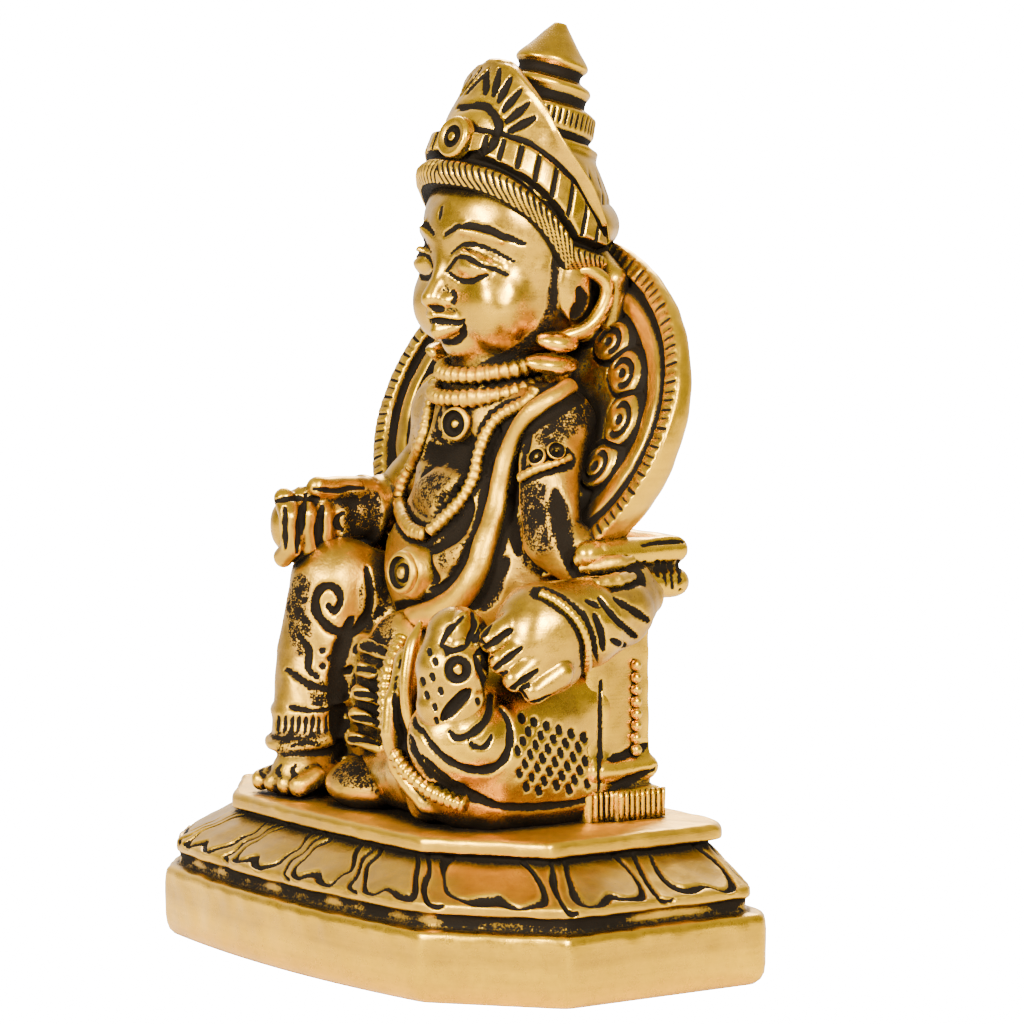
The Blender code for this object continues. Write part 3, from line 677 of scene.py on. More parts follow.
# %% Throne back
throne = Clay((-22.5, 3, 13.2), (22.5, 18.2, 43), 0.36)
slab(throne, (-19.4, 4.0, 13.7), (19.4, 11.7, 35.5), edge=0.6)
slab(throne, (-20.2, 7.0, 13.7), (20.2, 12.7, 17.7), edge=0.5)
slab(throne, (-18.6, 6.0, 35.0), (18.6, 14.4, 39.4), edge=0.8)
RAILS = [(19.4, 1.25, 19.0, 11.3), (36.8, 1.5, 18.6, 14.9), (39.9, 1.5, 18.4, 14.9)]
for height, radius, reach, back in RAILS:
    bar(throne, [(reach, 5, height), (reach, back, height), (-reach, back, height), (-reach, 5, height)],
        radius, soft=0.25)
keep("throne_back", skin(throne))
for end in (1, -1):
    for step in range(8):
        keep("throne_back", bead(np.array([end * 19.55, 9.7, 21.2 + 1.15 * step]) + LIFT, 0.66))
    for step in range(13):
        y = 5.0 + 0.62 * step
        proud = 20.2 if y > 7.2 else 19.5
        flute = np.array([(end * proud, y, 14.7), (end * proud, y, 17.5)]) + LIFT
        keep("throne_back", cord(smooth_path(flute, 0.6), 0.3, sides=8))

# %% [markdown]
# ## Body and arms
#
# A round belly, a short chest and heavy shoulders, melted together; the right arm comes forward to a closed
# fist on the raised knee, and the left hangs out to the elbow and comes back to lie on the mongoose.

# %% Body and left arm
body = Clay((-20.2, -6, 28), (25.8, 14.5, 58), 0.25)
ball(body, (0, 6.6, 37.0), (12.6, 9.4, 9.6))
ball(body, (0, 7.4, 47.0), (10.4, 6.6, 9.0), soft=3)
ball(body, (0, 7.6, 53.0), (8.0, 5.2, 3.6), soft=2)
bar(body, [(-9.0, 8.0, 51.2), (9.0, 8.0, 51.2)], 3.8, soft=2)
slab(body, (-11.5, 5.5, 28.5), (11.5, 12.0, 44.0), soft=1)
LEFT_ARM = [(9.6, 7.4, 51.8), (12.2, 4.8, 46.4), (13.8, 4.2, 41.0), (19.4, 8.4, 37.0)]
bar(body, LEFT_ARM, [3.6, 3.0, 3.0, 2.8], soft=1.2)
bar(body, [(20.4, 10.2, 35.8), (21.4, 6.0, 34.9), (21.6, 2.0, 34.0)], [1.9, 3.6, 4.3], soft=0.6)
RIGHT_ARM = [(-9.4, 8.0, 51.6), (-11.2, 7.6, 47.0), (-15.6, 6.4, 42.4), (-16.0, 1.4, 41.6),
             (-16.4, -2.0, 40.8)]
bar(body, RIGHT_ARM[:3], [3.4, 2.9, 2.9], soft=1.2)
keep("body", skin(body))

# %% Right forearm and fist
fist = Clay((-21.5, -11, 34.5), (-8.5, 10.6, 47.2), 0.185)
bar(fist, RIGHT_ARM[1:], [2.9, 2.9, 3.1, 3.1], soft=1.2)
ball(fist, (-16.6, -3.4, 40.5), (3.2, 4.6, 3.9), soft=0.8)
for step in range(4):
    y = -7.4 + 1.95 * step
    bar(fist, [(-15.4, y, 43.3), (-13.9, y - 0.3, 41.6), (-14.1, y, 38.6), (-15.6, y, 37.5)],
        [1.1, 1.15, 1.15, 1.1], soft=0.25)
bar(fist, [(-14.6, 1.6, 43.6), (-14.2, -4.2, 44.3)], [1.5, 1.2], soft=0.3)
hoop(fist, (-16.4, 2.6, 41.4), 3.2, 0.6, turn=(90, 0, 0))
keep("right_hand", skin(fist))

# %% Left hand on the mongoose
hand = Clay((10, -16.5, 21), (27.8, 8, 41), 0.185)
bar(hand, [(21.6, 2.0, 34.0), (21.0, -2.2, 33.6)], [4.3, 4.6], soft=0.8)
ball(hand, (21.6, -2.4, 32.4), (3.9, 4.8, 5.0), turn=(-12, 0, 10))
FINGERS = [((21.6, -4.0, 35.6), (20.9, -7.9, 33.1)), ((22.9, -3.9, 33.8), (22.1, -7.6, 31.2)),
           ((24.0, -3.6, 31.9), (23.2, -6.8, 29.6)), ((24.6, -2.8, 30.0), (24.0, -5.2, 28.4))]
bar(hand, [(16.8, -9.0, 33.0), (17.2, -9.8, 30.2), (17.2, -10.9, 26.8)], [3.0, 3.5, 2.5], soft=0.8)
bar(hand, [(18.2, -9.4, 27.6), (18.4, -9.9, 25.2)], [2.2, 1.7], soft=0.4)
for start, stop in FINGERS:
    bar(hand, [start, stop], [1.45, 1.3], soft=0.25)
ball(hand, (18.6, -9.6, 33.8), (0.9, 1.6, 2.1), turn=(-30, 0, 20), soft=0.2)
keep("hand_and_mongoose", skin(hand))

# %% Left leg and its wrap
near_leg = Clay((-4.5, -14.5, 13.2), (21.6, 12.5, 32.5), 0.26)
bar(near_leg, [(10.5, 5.0, 22.6), (13.6, -0.8, 22.6), (14.4, -5.0, 22.2)], [7.2, 6.9, 6.6], soft=1)
bar(near_leg, [(13.8, 5.0, 18.8), (14.2, -3.6, 18.8)], [5.9, 5.6], soft=1.5)
bar(near_leg, [(13.8, 5.0, 25.2), (14.6, -1.0, 25.4)], [5.9, 5.6], soft=1.5)
bar(near_leg, [(13.6, -5.6, 19.6), (6.0, -5.4, 18.6), (-1.0, -4.6, 17.6)], [5.0, 4.0, 3.2], soft=1)
HEM = [(8.6, -8.6, 30.0), (10.0, -11.8, 26.4), (10.2, -12.2, 23.4), (9.4, -10.8, 20.0), (12.6, -9.8, 16.8),
       (17.6, -4.4, 15.6)]
bar(near_leg, HEM, 0.85, soft=0.3)
bar(near_leg, [(9.0, -8.6, 29.6), (9.8, -9.6, 25.0), (9.6, -9.0, 20.4), (10.6, -8.0, 16.6)], 2.0, soft=0.8)
ball(near_leg, (16.2, -8.0, 23.4), (5.2, 5.2, 4.8))
keep("left_leg", skin(near_leg))

# %% Right leg, lap and pleats
far_leg = Clay((-19.4, -14, 13.2), (6.5, 12.5, 40.6), 0.265)
bar(far_leg, [(-9.0, 6.0, 27.5), (-12.6, 2.0, 32.5), (-13.8, -2.2, 34.6)], [6.4, 5.2, 4.7], soft=1)
bar(far_leg, [(-13.8, -2.2, 34.6), (-13.6, -4.6, 28.0), (-12.9, -6.6, 20.6)], [4.7, 4.2, 3.5], soft=1)
hoop(far_leg, (-12.9, -6.6, 20.0), 3.5, 0.7, turn=(10, 0, 0))
hoop(far_leg, (-13.2, -5.7, 23.4), 3.8, 0.5, turn=(14, 0, 0))
bar(far_leg, [(-12.6, -5.2, 17.4), (-11.7, -8.2, 16.5)], [3.0, 2.9], soft=0.5)
for step in range(4):
    x = -14.4 + 1.9 * step
    bar(far_leg, [(x, -8.2, 16.6), (x, -10.8 + 0.25 * step, 15.9)], [1.2, 1.15], soft=0.15)
slab(far_leg, (-16.2, -4.4, 13.7), (-4.0, 6.0, 22.0), soft=1)
slab(far_leg, (-11.0, 0.0, 20.0), (6.0, 9.0, 32.0), soft=1)
slab(far_leg, (-13.6, -3.4, 18.0), (-4.0, 5.0, 30.5), soft=1.5)
ball(far_leg, (-2.2, -2.6, 24.6), (5.2, 4.0, 8.6), soft=0.5)
for step in range(5):
    z = 29.6 - 2.2 * step
    bar(far_leg, [(-6.0, -4.2 - 0.3 * step, z - 0.5), (-2.6, -6.4 - 0.35 * step, z + 0.4),
                  (1.4, -5.6 - 0.35 * step, z - 0.3)], [0.75, 0.85, 0.75], soft=0.2)
ball(far_leg, (-2.0, -6.0, 16.6), (5.2, 4.4, 2.8), soft=0.4)
keep("right_leg", skin(far_leg))

for name in ("body", "right_hand", "hand_and_mongoose", "left_leg", "right_leg"):
    print(f"{name}: {sum(len(s[1]) for s in CAST[name])} triangles")

# %% [markdown]
# ## Head
#
# A calm idol's head, of a general design: the face is three equal parts from the hair's edge to the brows, to
# the base of the nose and to the chin, the eyes lie half way up the skull with an eye's width between them.

# %% Head
head = Clay((-14.5, -3, 51.5), (14.5, 20.2, 77), 0.21)
ball(head, (0, 9.55, 66.5), (9.0, 9.0, 9.5))
ball(head, (0, 8.8, 70.6), (8.7, 8.3, 6.4), soft=1.5)
ball(head, (0, 7.6, 61.8), (7.4, 6.3, 5.0), soft=2.5)
ball(head, (0, 3.6, 58.9), (2.3, 2.0, 1.7), soft=1.4)
bar(head, [(0, 1.7, 68.2), (0, 0.5, 65.0), (0, -0.3, 63.4)], [0.7, 0.9, 1.15], soft=0.8)
for side_of in (1, -1):
    bar(head, pair([(0.9, 1.2, 68.9), (3.3, 0.9, 70.2), (6.6, 3.2, 69.2)], side_of), [0.5, 0.6, 0.4],
        soft=0.5)
    ball(head, (3.7 * side_of, 2.2, 66.6), (2.5, 1.6, 1.35), soft=0.3)
    bar(head, pair([(1.4, 1.5, 66.6), (3.7, 0.75, 67.9), (6.4, 3.2, 66.6)], side_of), [0.3, 0.42, 0.3],
        soft=0.3)
    ball(head, (1.0 * side_of, 0.6, 63.2), (0.9, 0.9, 0.8), soft=0.4)
    bar(head, pair([(0.3, 0.0, 61.8), (2.6, 1.4, 61.5)], side_of), [0.8, 0.4], soft=0.3)
    bar(head, pair([(0.2, 0.5, 60.3), (2.2, 1.5, 60.8)], side_of), [0.95, 0.45], soft=0.3)
    ball(head, (4.7 * side_of, 4.0, 62.8), (3.2, 2.8, 3.6), soft=1.4)
    ball(head, (8.9 * side_of, 10.0, 64.8), (1.2, 2.0, 3.6), soft=0.4)
    bar(head, pair([(6.0, 14.0, 66.5), (9.0, 14.6, 65.0), (9.2, 14.4, 61.0)], side_of), [2.2, 1.6, 1.4],
        soft=0.5)
bar(head, [(0, 8.2, 58.5), (0, 8.0, 54.5)], [4.9, 5.6], soft=0.8)
ball(head, (0, 11.1, 70.2), (9.5, 8.4, 4.6), soft=0.5)
keep("head", skin(head))

# %% [markdown]
# ## Crown
#
# Rings turned about an axis that leans back, and in front of them a leaf-shaped diadem whose bands dip
# towards the ears. Both are grids: the angle round the axis is one parameter, and the way up the profile, or
# round the diadem's section, is the other.

# %% Crown: the turned rings
CROWN_FOOT, CROWN_LEAN = np.array([0, 9.75, 72.0]), np.array([0, 0.2786, 0.9604])
CROWN_AHEAD = np.array([0, -0.9604, 0.2786])
CROWN_PROFILE = [(0.0, 9.2), (2.7, 8.6), (5.3, 6.9), (5.8, 6.5), (6.7, 6.5), (7.2, 5.3), (7.9, 5.7),
                 (9.8, 5.6), (10.4, 4.2), (11.2, 4.2), (11.9, 4.6), (12.4, 4.4), (13.0, 3.1), (13.6, 3.1),
                 (14.2, 3.7), (14.6, 3.6), (18.35, 0.6)]
CROWN_GROOVES = (7.2, 10.8, 13.3)
RING_RIBS = 52


def on_crown(angle, height, radius):
    """Foot plus the lean times the height, plus the radius along the angle from the front."""
    angle, height, radius = np.broadcast_arrays(angle, height, radius)
    sideways = np.array([1.0, 0, 0])
    outwards = np.sin(angle)[..., None] * sideways + np.cos(angle)[..., None] * CROWN_AHEAD
    return CROWN_FOOT + LIFT + CROWN_LEAN * height[..., None] + radius[..., None] * outwards


def crown_rings():
    """Radius by height from the profile, evenly stepped and a little rounded, at every angle."""
    height, radius = np.array(CROWN_PROFILE).T
    run = np.concatenate([[0], np.cumsum(np.hypot(np.diff(height), np.diff(radius)))])
    even = np.linspace(0, run[-1], round(run[-1] / 0.19))
    outline = np.column_stack([np.interp(even, run, height), np.interp(even, run, radius)])
    outline = blurred(outline[:, None], 2, False)[:, 0]
    angle = np.linspace(0, math.tau, RING_RIBS * 6, endpoint=False)
    height, radius = outline[:, 0][:, None], outline[:, 1][:, None] + 0 * angle
    ribbed = np.exp(-((height - 8.85) / 0.85) ** 6) * (0.5 + 0.5 * np.cos(RING_RIBS * angle)) ** 2
    strokes = 0.5 + 0.5 * np.cos(37 * angle + 2 * np.sin(5 * angle))
    scored = np.exp(-((height - 2.4) / 2.2) ** 6) * strokes ** 6
    black = sum(np.exp(-((height - low) / 0.42) ** 4) for low in CROWN_GROOVES) + 0 * angle
    carved = np.maximum.reduce([black, 0.8 * ribbed, 0.5 * scored])
    places = on_crown(angle, height, radius - 0.12 * ribbed - 0.1 * scored)
    return grid_skin(places), np.append(carved.ravel(), [0, 0])


keep("crown", *crown_rings())

# %% Crown: the diadem
DIADEM_REACH = 117
DIADEM_TOP = np.array([(0, 13.2), (10, 13.1), (22, 12.7), (41, 11.2), (59, 9.0), (71, 6.6), (84, 4.8),
                       (96, 3.0), (110, 0.3), (117, -1.6)])
DIADEM_RADIUS = np.array([(-8, 9.7), (-3, 9.6), (0, 9.3), (4, 8.7), (6.7, 8.3), (10, 7.1), (14.2, 5.0)])
BAND_DROP = 5.2
UPPER_DROP = np.array([(34, 0.0), (54, 0.4), (70, 1.5), (85, 2.9), (98, 4.9), (110, 6.6)])
SQUARES = (17, 11)                # degrees from the front of the first slit, and between slits
ROPE_PITCH = 0.78


def diadem():
    """For each angle, a closed section from the foot band over the front to the top and back down inside.
    The rope's ribs, the squares' slits and the two black lines are pressed in along the radius."""
    degrees = np.linspace(-DIADEM_REACH, DIADEM_REACH, 340)
    top = np.interp(np.abs(degrees), *smooth_path(DIADEM_TOP, 1.0).T)
    drop = BAND_DROP * np.minimum(np.abs(degrees) / 90, 1.02) ** 3
    foot, rope, line = (front - drop for front in (-0.4, 1.3, 2.6))
    upper = np.minimum(5.4 - np.interp(np.abs(degrees), *UPPER_DROP.T), top - 0.8)
    line, rope = np.minimum(line, upper - 0.6), np.minimum(rope, upper - 1.4)
    foot = np.minimum(foot, upper - 2.6)
    proud = 0.3 + 0.9 * np.clip((np.abs(degrees) - 9) / 7, 0, 1)      # the squares give way to the medallion
    section = [(foot - 0.2, -3.0), (foot, 0.1), (rope - 0.7, 1.1), (rope + 0.2, 1.3), (rope + 0.75, 1.0),
               (line - 0.1, -0.2), (line + 0.5, proud), (upper - 0.4, proud), (upper, 0.3),
               (np.maximum(upper + 0.4, top - 1.2), 0.9), (top - 0.3, 1.3), (top, 0.6), (top - 0.2, -0.9)]
    section = section + section[:1]
    heights = np.array([h for h, _ in section])
    outs = np.array([out + 0 * degrees for _, out in section])
    keys = np.stack([heights, outs], -1)
    run = np.concatenate([[0], np.cumsum(np.linalg.norm(np.diff(keys, axis=0), axis=2).mean(1))])
    even = np.linspace(0, run[-1], round(run[-1] / 0.2), endpoint=False)
    part = np.clip(np.searchsorted(run, even, "right") - 1, 0, len(run) - 2)
    mix = ((even - run[part]) / (run[part + 1] - run[part]))[:, None, None]
    grid = keys[part] * (1 - mix) + keys[part + 1] * mix
    grid = blurred(grid.transpose(1, 0, 2), 1, True)
    height, out = grid[..., 0], grid[..., 1]
    radius = np.interp(np.maximum(height, -8), *DIADEM_RADIUS.T) + out
    turn, line, upper, rope = np.abs(degrees)[:, None], line[:, None], upper[:, None], rope[:, None]
    front = out > -0.35
    slit = (turn - SQUARES[0] + SQUARES[1] / 2) % SQUARES[1] - SQUARES[1] / 2
    slits = groove(np.radians(slit) * radius, 0.34) * (turn > SQUARES[0] - 3)
    slits = slits * (height > line + 0.45) * (height < upper - 0.35)
    arc = np.radians(turn) * radius
    ribs = (0.5 + 0.5 * np.cos(math.tau * (arc + 0.5 * (height - rope)) / ROPE_PITCH)) ** 2
    ribs = ribs * np.exp(-((height - rope + 0.45) / 1.3) ** 8)
    under = out < np.clip((height - foot[:, None]) * 2, -1, 0.3)
    lines = np.maximum(groove(height - line - 0.05, 0.62), groove(height - upper, 0.42))
    radius = radius - front * (0.3 * slits + 0.2 * ribs + 0.15 * lines)
    carved = np.maximum(front * np.maximum.reduce([slits, 0.9 * ribs, 1.2 * lines]),
                        under * (height < foot[:, None] + 0.4))
    places = on_crown(np.radians(degrees)[:, None], height, radius)
    return grid_skin(places), np.append(carved.ravel(), [0, 0])


keep("diadem", *diadem())
for name in ("head", "crown", "diadem"):
    print(f"{name}: {sum(len(s[1]) for s in CAST[name])} triangles")

# %% [markdown]
# ## Ornaments
#
# Cords, bosses and rings lie on the body. Those that the camera sees are laid out in the picture and land on
# the clay; the ear ornaments and the neck ring are placed by the head's middle plane and made on both sides.

# %% Bosses and cords on the body


def boss(centre, axis, radius, rise, hole=0.55):
    """A turned stud: a rounded rim, a black ring at a share of the radius, and a bead in the middle."""
    profile = np.array([(1.0, -0.9), (1.0, 0.25), (0.96, 0.6), (0.85, 0.85), (0.72, 0.85),
                        (hole + 0.06, 0.55), (hole, 0.0), (hole - 0.1, -0.1), (hole - 0.18, 0.1),
                        (0.2, 0.75), (0.02, 0.85)])
    outline = smooth_path(profile * [radius, rise], 0.14)
    skin = turned(outline, centre, axis)
    black = groove(outline[:, 0] - (hole - 0.06) * radius, 0.3 * radius) * (outline[:, 1] < 0.6 * rise)
    return skin, np.append(np.repeat(1.3 * black, 48), [0, 0])


def laid(clay, pixels, sunk=0.1):
    """A line of the picture as a smooth path on the clay, with the clay's normal at each place."""
    path = landed(clay, smooth_path(pixels, 3.0))
    path = blurred(path, 6, False)
    path = smooth_path(path[::2], 0.2)
    normal = unit(blurred(outward(clay, path), 8, False))
    return path - sunk * normal, normal


def lay(piece, path, normal, radius, **shape):
    """Files a cord, and blackens and sinks the skin that it lies on along both its edges."""
    keep(piece, cord(path, radius, up=normal, **shape))
    entry = CAST[piece][0]
    reach = off_line(entry[0], path[::3]) - np.max(radius)
    beside = np.clip(1 - np.maximum(reach, 0) / 0.75, 0, 1)
    entry[0] = entry[0] - 0.35 * beside[:, None] ** 2 * normals_of(entry[0], entry[1])
    entry[2] = np.maximum(entry[2], np.clip(1.7 * beside, 0, 1))
    entry[3] = np.maximum(entry[3], np.clip(1 - np.maximum(reach, 0) / 1.6, 0, 1))


around = np.linspace(0, math.tau, 220, endpoint=False)
for height, reach, thick in ((57.0, 5.5, 0.95), (55.0, 6.3, 0.9)):
    path = np.stack([reach * np.sin(around), 7.6 - reach * np.cos(around),
                     height - 0.2 * reach * np.cos(around)], -1)
    keep("body", cord(path + LIFT, thick, closed=True, ribs=0.14, pitch=0.85))

PENDANT_AT, NAVEL_FRONT = [(459, 424)], np.array([0.2, -3.9, 37.0])
centre = landed(body, PENDANT_AT)
PENDANT_AXIS = np.array([0.35, -0.93, 0.1])
keep("body", *boss(centre[0] + 0.5 * PENDANT_AXIS, PENDANT_AXIS, 1.75, 0.7, 0.6))
keep("body", turned([(3.4, -4.0), (2.8, -1.6), (2.4, -0.5), (2.1, 0)], NAVEL_FRONT, (0.12, -1, 0.05)))
keep("body", *boss(NAVEL_FRONT, (0.12, -1, 0.05), 2.15, 0.7, 0.62))

# %% Garland, thread and cuffs
GARLAND_RIGHT = [(536, 392), (529, 401), (510, 410), (496, 420), (486, 435), (479, 453), (476, 470),
                 (472, 482), (464, 496), (452, 511), (438, 525), (429, 533)]
GARLAND_LEFT = [(436, 384), (433, 392), (429, 413), (422, 439), (414, 461), (404, 480), (400, 500),
                (404, 520), (414, 532), (429, 535)]
THREAD = [(585, 372), (577, 382), (555, 396), (534, 410), (520, 425), (512, 442), (505, 463), (501, 482),
          (496, 508), (489, 533), (481, 559), (471, 583), (457, 599), (434, 613), (409, 620), (385, 619)]
for line in (GARLAND_RIGHT, GARLAND_LEFT):
    path, normal = laid(body, line, 0.0)
    lay("body", path, normal, 0.74, ribs=0.13, pitch=0.75)
path, normal = laid(body, THREAD, -0.1)
wide = np.interp(np.linspace(0, 1, len(path)), [0, 0.25, 0.6, 0.85, 1], [0.95, 1.05, 1.3, 1.5, 1.2])
lay("body", path, normal, wide, sides=20, flat=0.8)

SCARF_FOLDS = [[(640, 534), (620, 541), (598, 551), (574, 563)],
               [(640, 556), (618, 562), (596, 567), (576, 570)],
               [(634, 575), (612, 580), (592, 583)]]
for line in SCARF_FOLDS:
    path, normal = laid(body, line, 0.2)
    wide = 0.35 + 0.6 * np.sin(np.linspace(0.15, math.pi - 0.4, len(path)))
    lay("body", path, normal, wide, ribs=0.06, pitch=1.4)
ARMLET = [(520, 478), (531, 471), (545, 466), (560, 462), (574, 455)]
ARMLET_STUDS = [(538, 458), (556, 452)]
path, normal = laid(body, ARMLET, 0.0)
lay("body", path, normal, 0.5, ribs=0.12, pitch=0.7)
centre = landed(body, ARMLET_STUDS)
for place, axis in zip(centre, outward(body, centre)):
    keep("body", *boss(place, axis, 1.05, 0.7))
HAND_CUFF = [(541, 592), (552, 597), (566, 607), (580, 622), (588, 642), (588, 668), (582, 684)]
path, normal = laid(hand, HAND_CUFF, 0.15)
lay("hand_and_mongoose", path, normal, 0.5, ribs=0.12, pitch=0.6)


def at_depth(line):
    """Places of the picture given as pixels and the y in mm at which the line of sight is cut."""
    line = np.array(line, float)
    ray = sight(line)
    return EYE + ray * ((line[:, 2] - EYE[1]) / ray[:, 1])[:, None]


LAP_CORD = [(402, 640, -7.2), (394, 656, -8.8), (387, 680, -10.2), (386, 705, -11.0), (389, 735, -11.5),
            (403, 766, -11.5), (432, 791, -10.8), (465, 806, -9.6)]
keep("left_leg", cord(smooth_path(at_depth(LAP_CORD)), 0.78, ribs=0.2, pitch=0.8))
WRAP_HEM = [(421, 622, -9.0), (411, 650, -10.6), (406, 690, -11.4), (412, 725, -11.0), (430, 757, -9.8),
            (462, 780, -8.0), (500, 795, -5.4)]
path = smooth_path(at_depth(WRAP_HEM))
wide = np.interp(np.linspace(0, 1, len(path)), [0, 0.1, 0.85, 1], [0.3, 0.7, 0.7, 0.2])
keep("left_leg", cord(path, wide, sides=16))

# %% Ear ornaments
EAR_LOOP = [(8.9, 9.0, 65.6), (9.8, 11.0, 66.2), (10.2, 12.9, 64.8), (10.1, 12.6, 62.6), (9.7, 10.9, 60.6),
            (9.0, 8.4, 59.8)]
EAR_STUDS = [((9.2, 8.1, 59.4), 2.0, 1.7), ((9.0, 7.6, 57.3), 2.7, 1.8)]
for end in (1, -1):
    path = smooth_path(pair(EAR_LOOP, end)) + LIFT
    keep("head", cord(path, np.interp(np.linspace(0, 1, len(path)), [0, 0.3, 0.8, 1],
                                      [0.45, 0.75, 0.85, 0.7])))
    for (x, y, z), reach, thick in EAR_STUDS:
        path = np.array([(end * (x - 0.9), y - reach, z + 0.3), (end * x, y, z),
                         (end * (x - 0.2), y + reach, z)])
        path = smooth_path(path, 0.2) + LIFT
        keep("head", cord(path, thick * np.sin(np.linspace(0.25, math.pi - 0.25, len(path))) ** 0.7,
                          flat=0.62))
print("ornaments laid")

# %% [markdown]
# ## Chasing
#
# The lines that a punch or a file leaves in the cooled metal. Most are laid out in the picture: a place of
# the skin is pressed in where the camera sees it within the line's half width, and what is pressed in turns
# black. The head and the crown are alike on both sides, and there a place on the right takes its mirror's
# carving.

# %% Where the camera sees the skins
CELL = 4.0                        # pixels to a side of the squares that hold the nearest distance
nearest_seen = np.full((FRAME_SIDE // 4 + 1,) * 2, 1e9)


def cell_of(pixels):
    """The square of the picture that each pixel place falls in."""
    return tuple(np.clip(pixels / CELL, 0, FRAME_SIDE // 4).astype(int).T)


for skins in CAST.values():
    for places, *_ in skins:
        np.minimum.at(nearest_seen, cell_of(seen(places)), (places - EYE) @ AHEAD)


def press(entry, flat, allowed, strokes):
    """Moves places in along their normals by each stroke's depth at their distance from its line. A stroke
    is its lines, half width, depth in mm, black and coarseness; a depth below nought raises a ridge instead.
    An open line narrows to both ends, as a graver leaves it, and its width wavers a little. Where a place is
    only partly allowed, the depth is that part of it."""
    places, faces, carved, rough = entry
    sunk, raised, index = np.zeros(len(places)), np.zeros(len(places)), np.flatnonzero(allowed)
    flat, allowed = flat[index], allowed[index]
    for lines, half, deep, black, coarse in strokes:
        for line in lines:
            line = np.array(line, float)
            line = smooth_path(line, half / 2) if len(line) > 2 else line
            close = (flat > line.min(0) - half).all(1) & (flat < line.max(0) + half).all(1)
            off, reached = near_line(flat[close], line)
            whole = np.linalg.norm(np.diff(line, axis=0), axis=1).sum()
            width = half * (1 + 0.1 * np.sin(reached * 1.6 / half + whole))
            if whole > 3 * half and np.linalg.norm(line[0] - line[-1]) > half:
                width = width * (0.4 + 0.6 * np.sin(math.pi * np.clip(reached / whole, 0, 0.9999)) ** 0.6)
            here, depth = index[close], groove(off, width) * allowed[close]
            side = sunk if deep > 0 else raised
            side[here] = np.maximum(side[here], depth * abs(deep))
            carved[here] = np.maximum(carved[here], np.clip((1.4 - 0.55 * coarse) * depth, 0, 1) * black)
            rough[here] = np.maximum(rough[here], np.clip(2 * depth, 0, 1) * coarse)
    entry[0] = places - (sunk - raised)[:, None] * normals_of(places, faces)


def chase(name, strokes, both_sides=False):
    """Presses strokes laid out in the picture into a piece's first skin, where the camera sees it."""
    entry = CAST[name][0]
    places, faces = entry[:2]
    flip = np.where(both_sides & (places[:, :1] < 0), [-1, 1, 1], 1)
    there = places * flip
    facing = -np.einsum("ij,ij->i", normals_of(places, faces) * flip, unit(there - EYE))
    pixels = seen(there)
    behind = (there - EYE) @ AHEAD - nearest_seen[cell_of(pixels)]
    shown = np.clip((facing - 0.08) / 0.25, 0, 1) * np.clip((1.5 - behind) / 0.5, 0, 1)
    press(entry, pixels, shown, strokes)


# %% Crown and halo edge
FAN = [[(486, 68), (484, 94)], [(499, 69), (492, 96)], [(510, 78), (497, 102)], [(520, 90), (502, 111)],
       [(528, 103), (506, 121)], [(534, 117), (509, 131)]]
LEAF_EDGE = [(497, 60), (520, 66), (541, 86), (556, 110)]
chase("diadem", [(FAN, 4.8, 0.4, 1, 0), ([LEAF_EDGE], 4.0, 0.2, 0.35, 0)], both_sides=True)
MEDALLION_TURN, MEDALLION_UP, MEDALLION_OUT = 5.6, 4.3, 9.7       # degrees, and mm up and out from the axis
medallion = on_crown(np.array(math.radians(MEDALLION_TURN)), np.array(MEDALLION_UP), np.array(MEDALLION_OUT))
ahead = medallion - CROWN_FOOT - LIFT - CROWN_LEAN * MEDALLION_UP
keep("diadem", *boss(medallion, ahead, 2.15, 0.7, 0.42))
CRESCENT = [[(458, 107), (483, 105), (497, 121), (495, 138), (483, 152), (466, 156)]]
chase("diadem", [(CRESCENT, 5.5, 0.45, 1, 0)])

# %% Face: lines in mm across and up from the middle plane, alike on both sides
EYE_LINES = [[(1.2, 66.1), (2.3, 67.2), (3.8, 67.5), (5.4, 67.0), (7.0, 65.9)],
             [(1.4, 65.9), (2.8, 65.2), (4.4, 65.2), (6.0, 65.8)]]
LID_LINES = [[(1.6, 67.7), (3.5, 68.7), (5.6, 68.3), (7.4, 67.0)]]
BROW_LINES = [[(0.9, 69.5), (3.2, 70.5), (5.8, 70.1), (7.8, 68.8)]]
MOUTH_LINES = [[(0, 61.15), (1.2, 61.25), (2.4, 61.1), (3.2, 61.4)]]
LIP_LINES = [[(-1, 59.1), (0, 59.05), (1.3, 59.3), (2.4, 60.1), (3.1, 61.0)]]
NOSE_LINES = [[(2.0, 62.9), (2.2, 63.6), (1.8, 64.3)], [(0.5, 62.5), (1.1, 62.4)]]
FOREHEAD_MARK = [[(0, 71.0), (0, 71.6), (0, 72.2)]]
JAW_EDGE = [[(556, 250), (553, 290), (545, 325), (515, 352), (480, 366)]]
EAR_HOLLOW = [[(581, 290), (584, 305), (574, 322)]]
FACE_BACK = 5.5                   # the y in mm up to which the face reaches
entry = CAST["head"][0]
flat = np.column_stack([np.abs(entry[0][:, 0]), entry[0][:, 2] - LIFT[2]])
press(entry, flat, 1.0 * (entry[0][:, 1] < FACE_BACK), [
    (EYE_LINES, 0.32, 0.22, 0.9, 0), (LID_LINES, 0.24, 0.14, 0.6, 0), (BROW_LINES, 0.42, 0.28, 1, 0),
    (MOUTH_LINES, 0.36, 0.3, 1, 0), (LIP_LINES, 0.4, 0.22, 0.9, 0.4), (NOSE_LINES, 0.3, 0.15, 0.7, 0),
    (FOREHEAD_MARK, 0.4, 0.2, 1, 0)])
chase("head", [(EAR_HOLLOW, 11, 0.5, 1, 0.8), (JAW_EDGE, 7, 0.05, 0.3, 1)], both_sides=True)

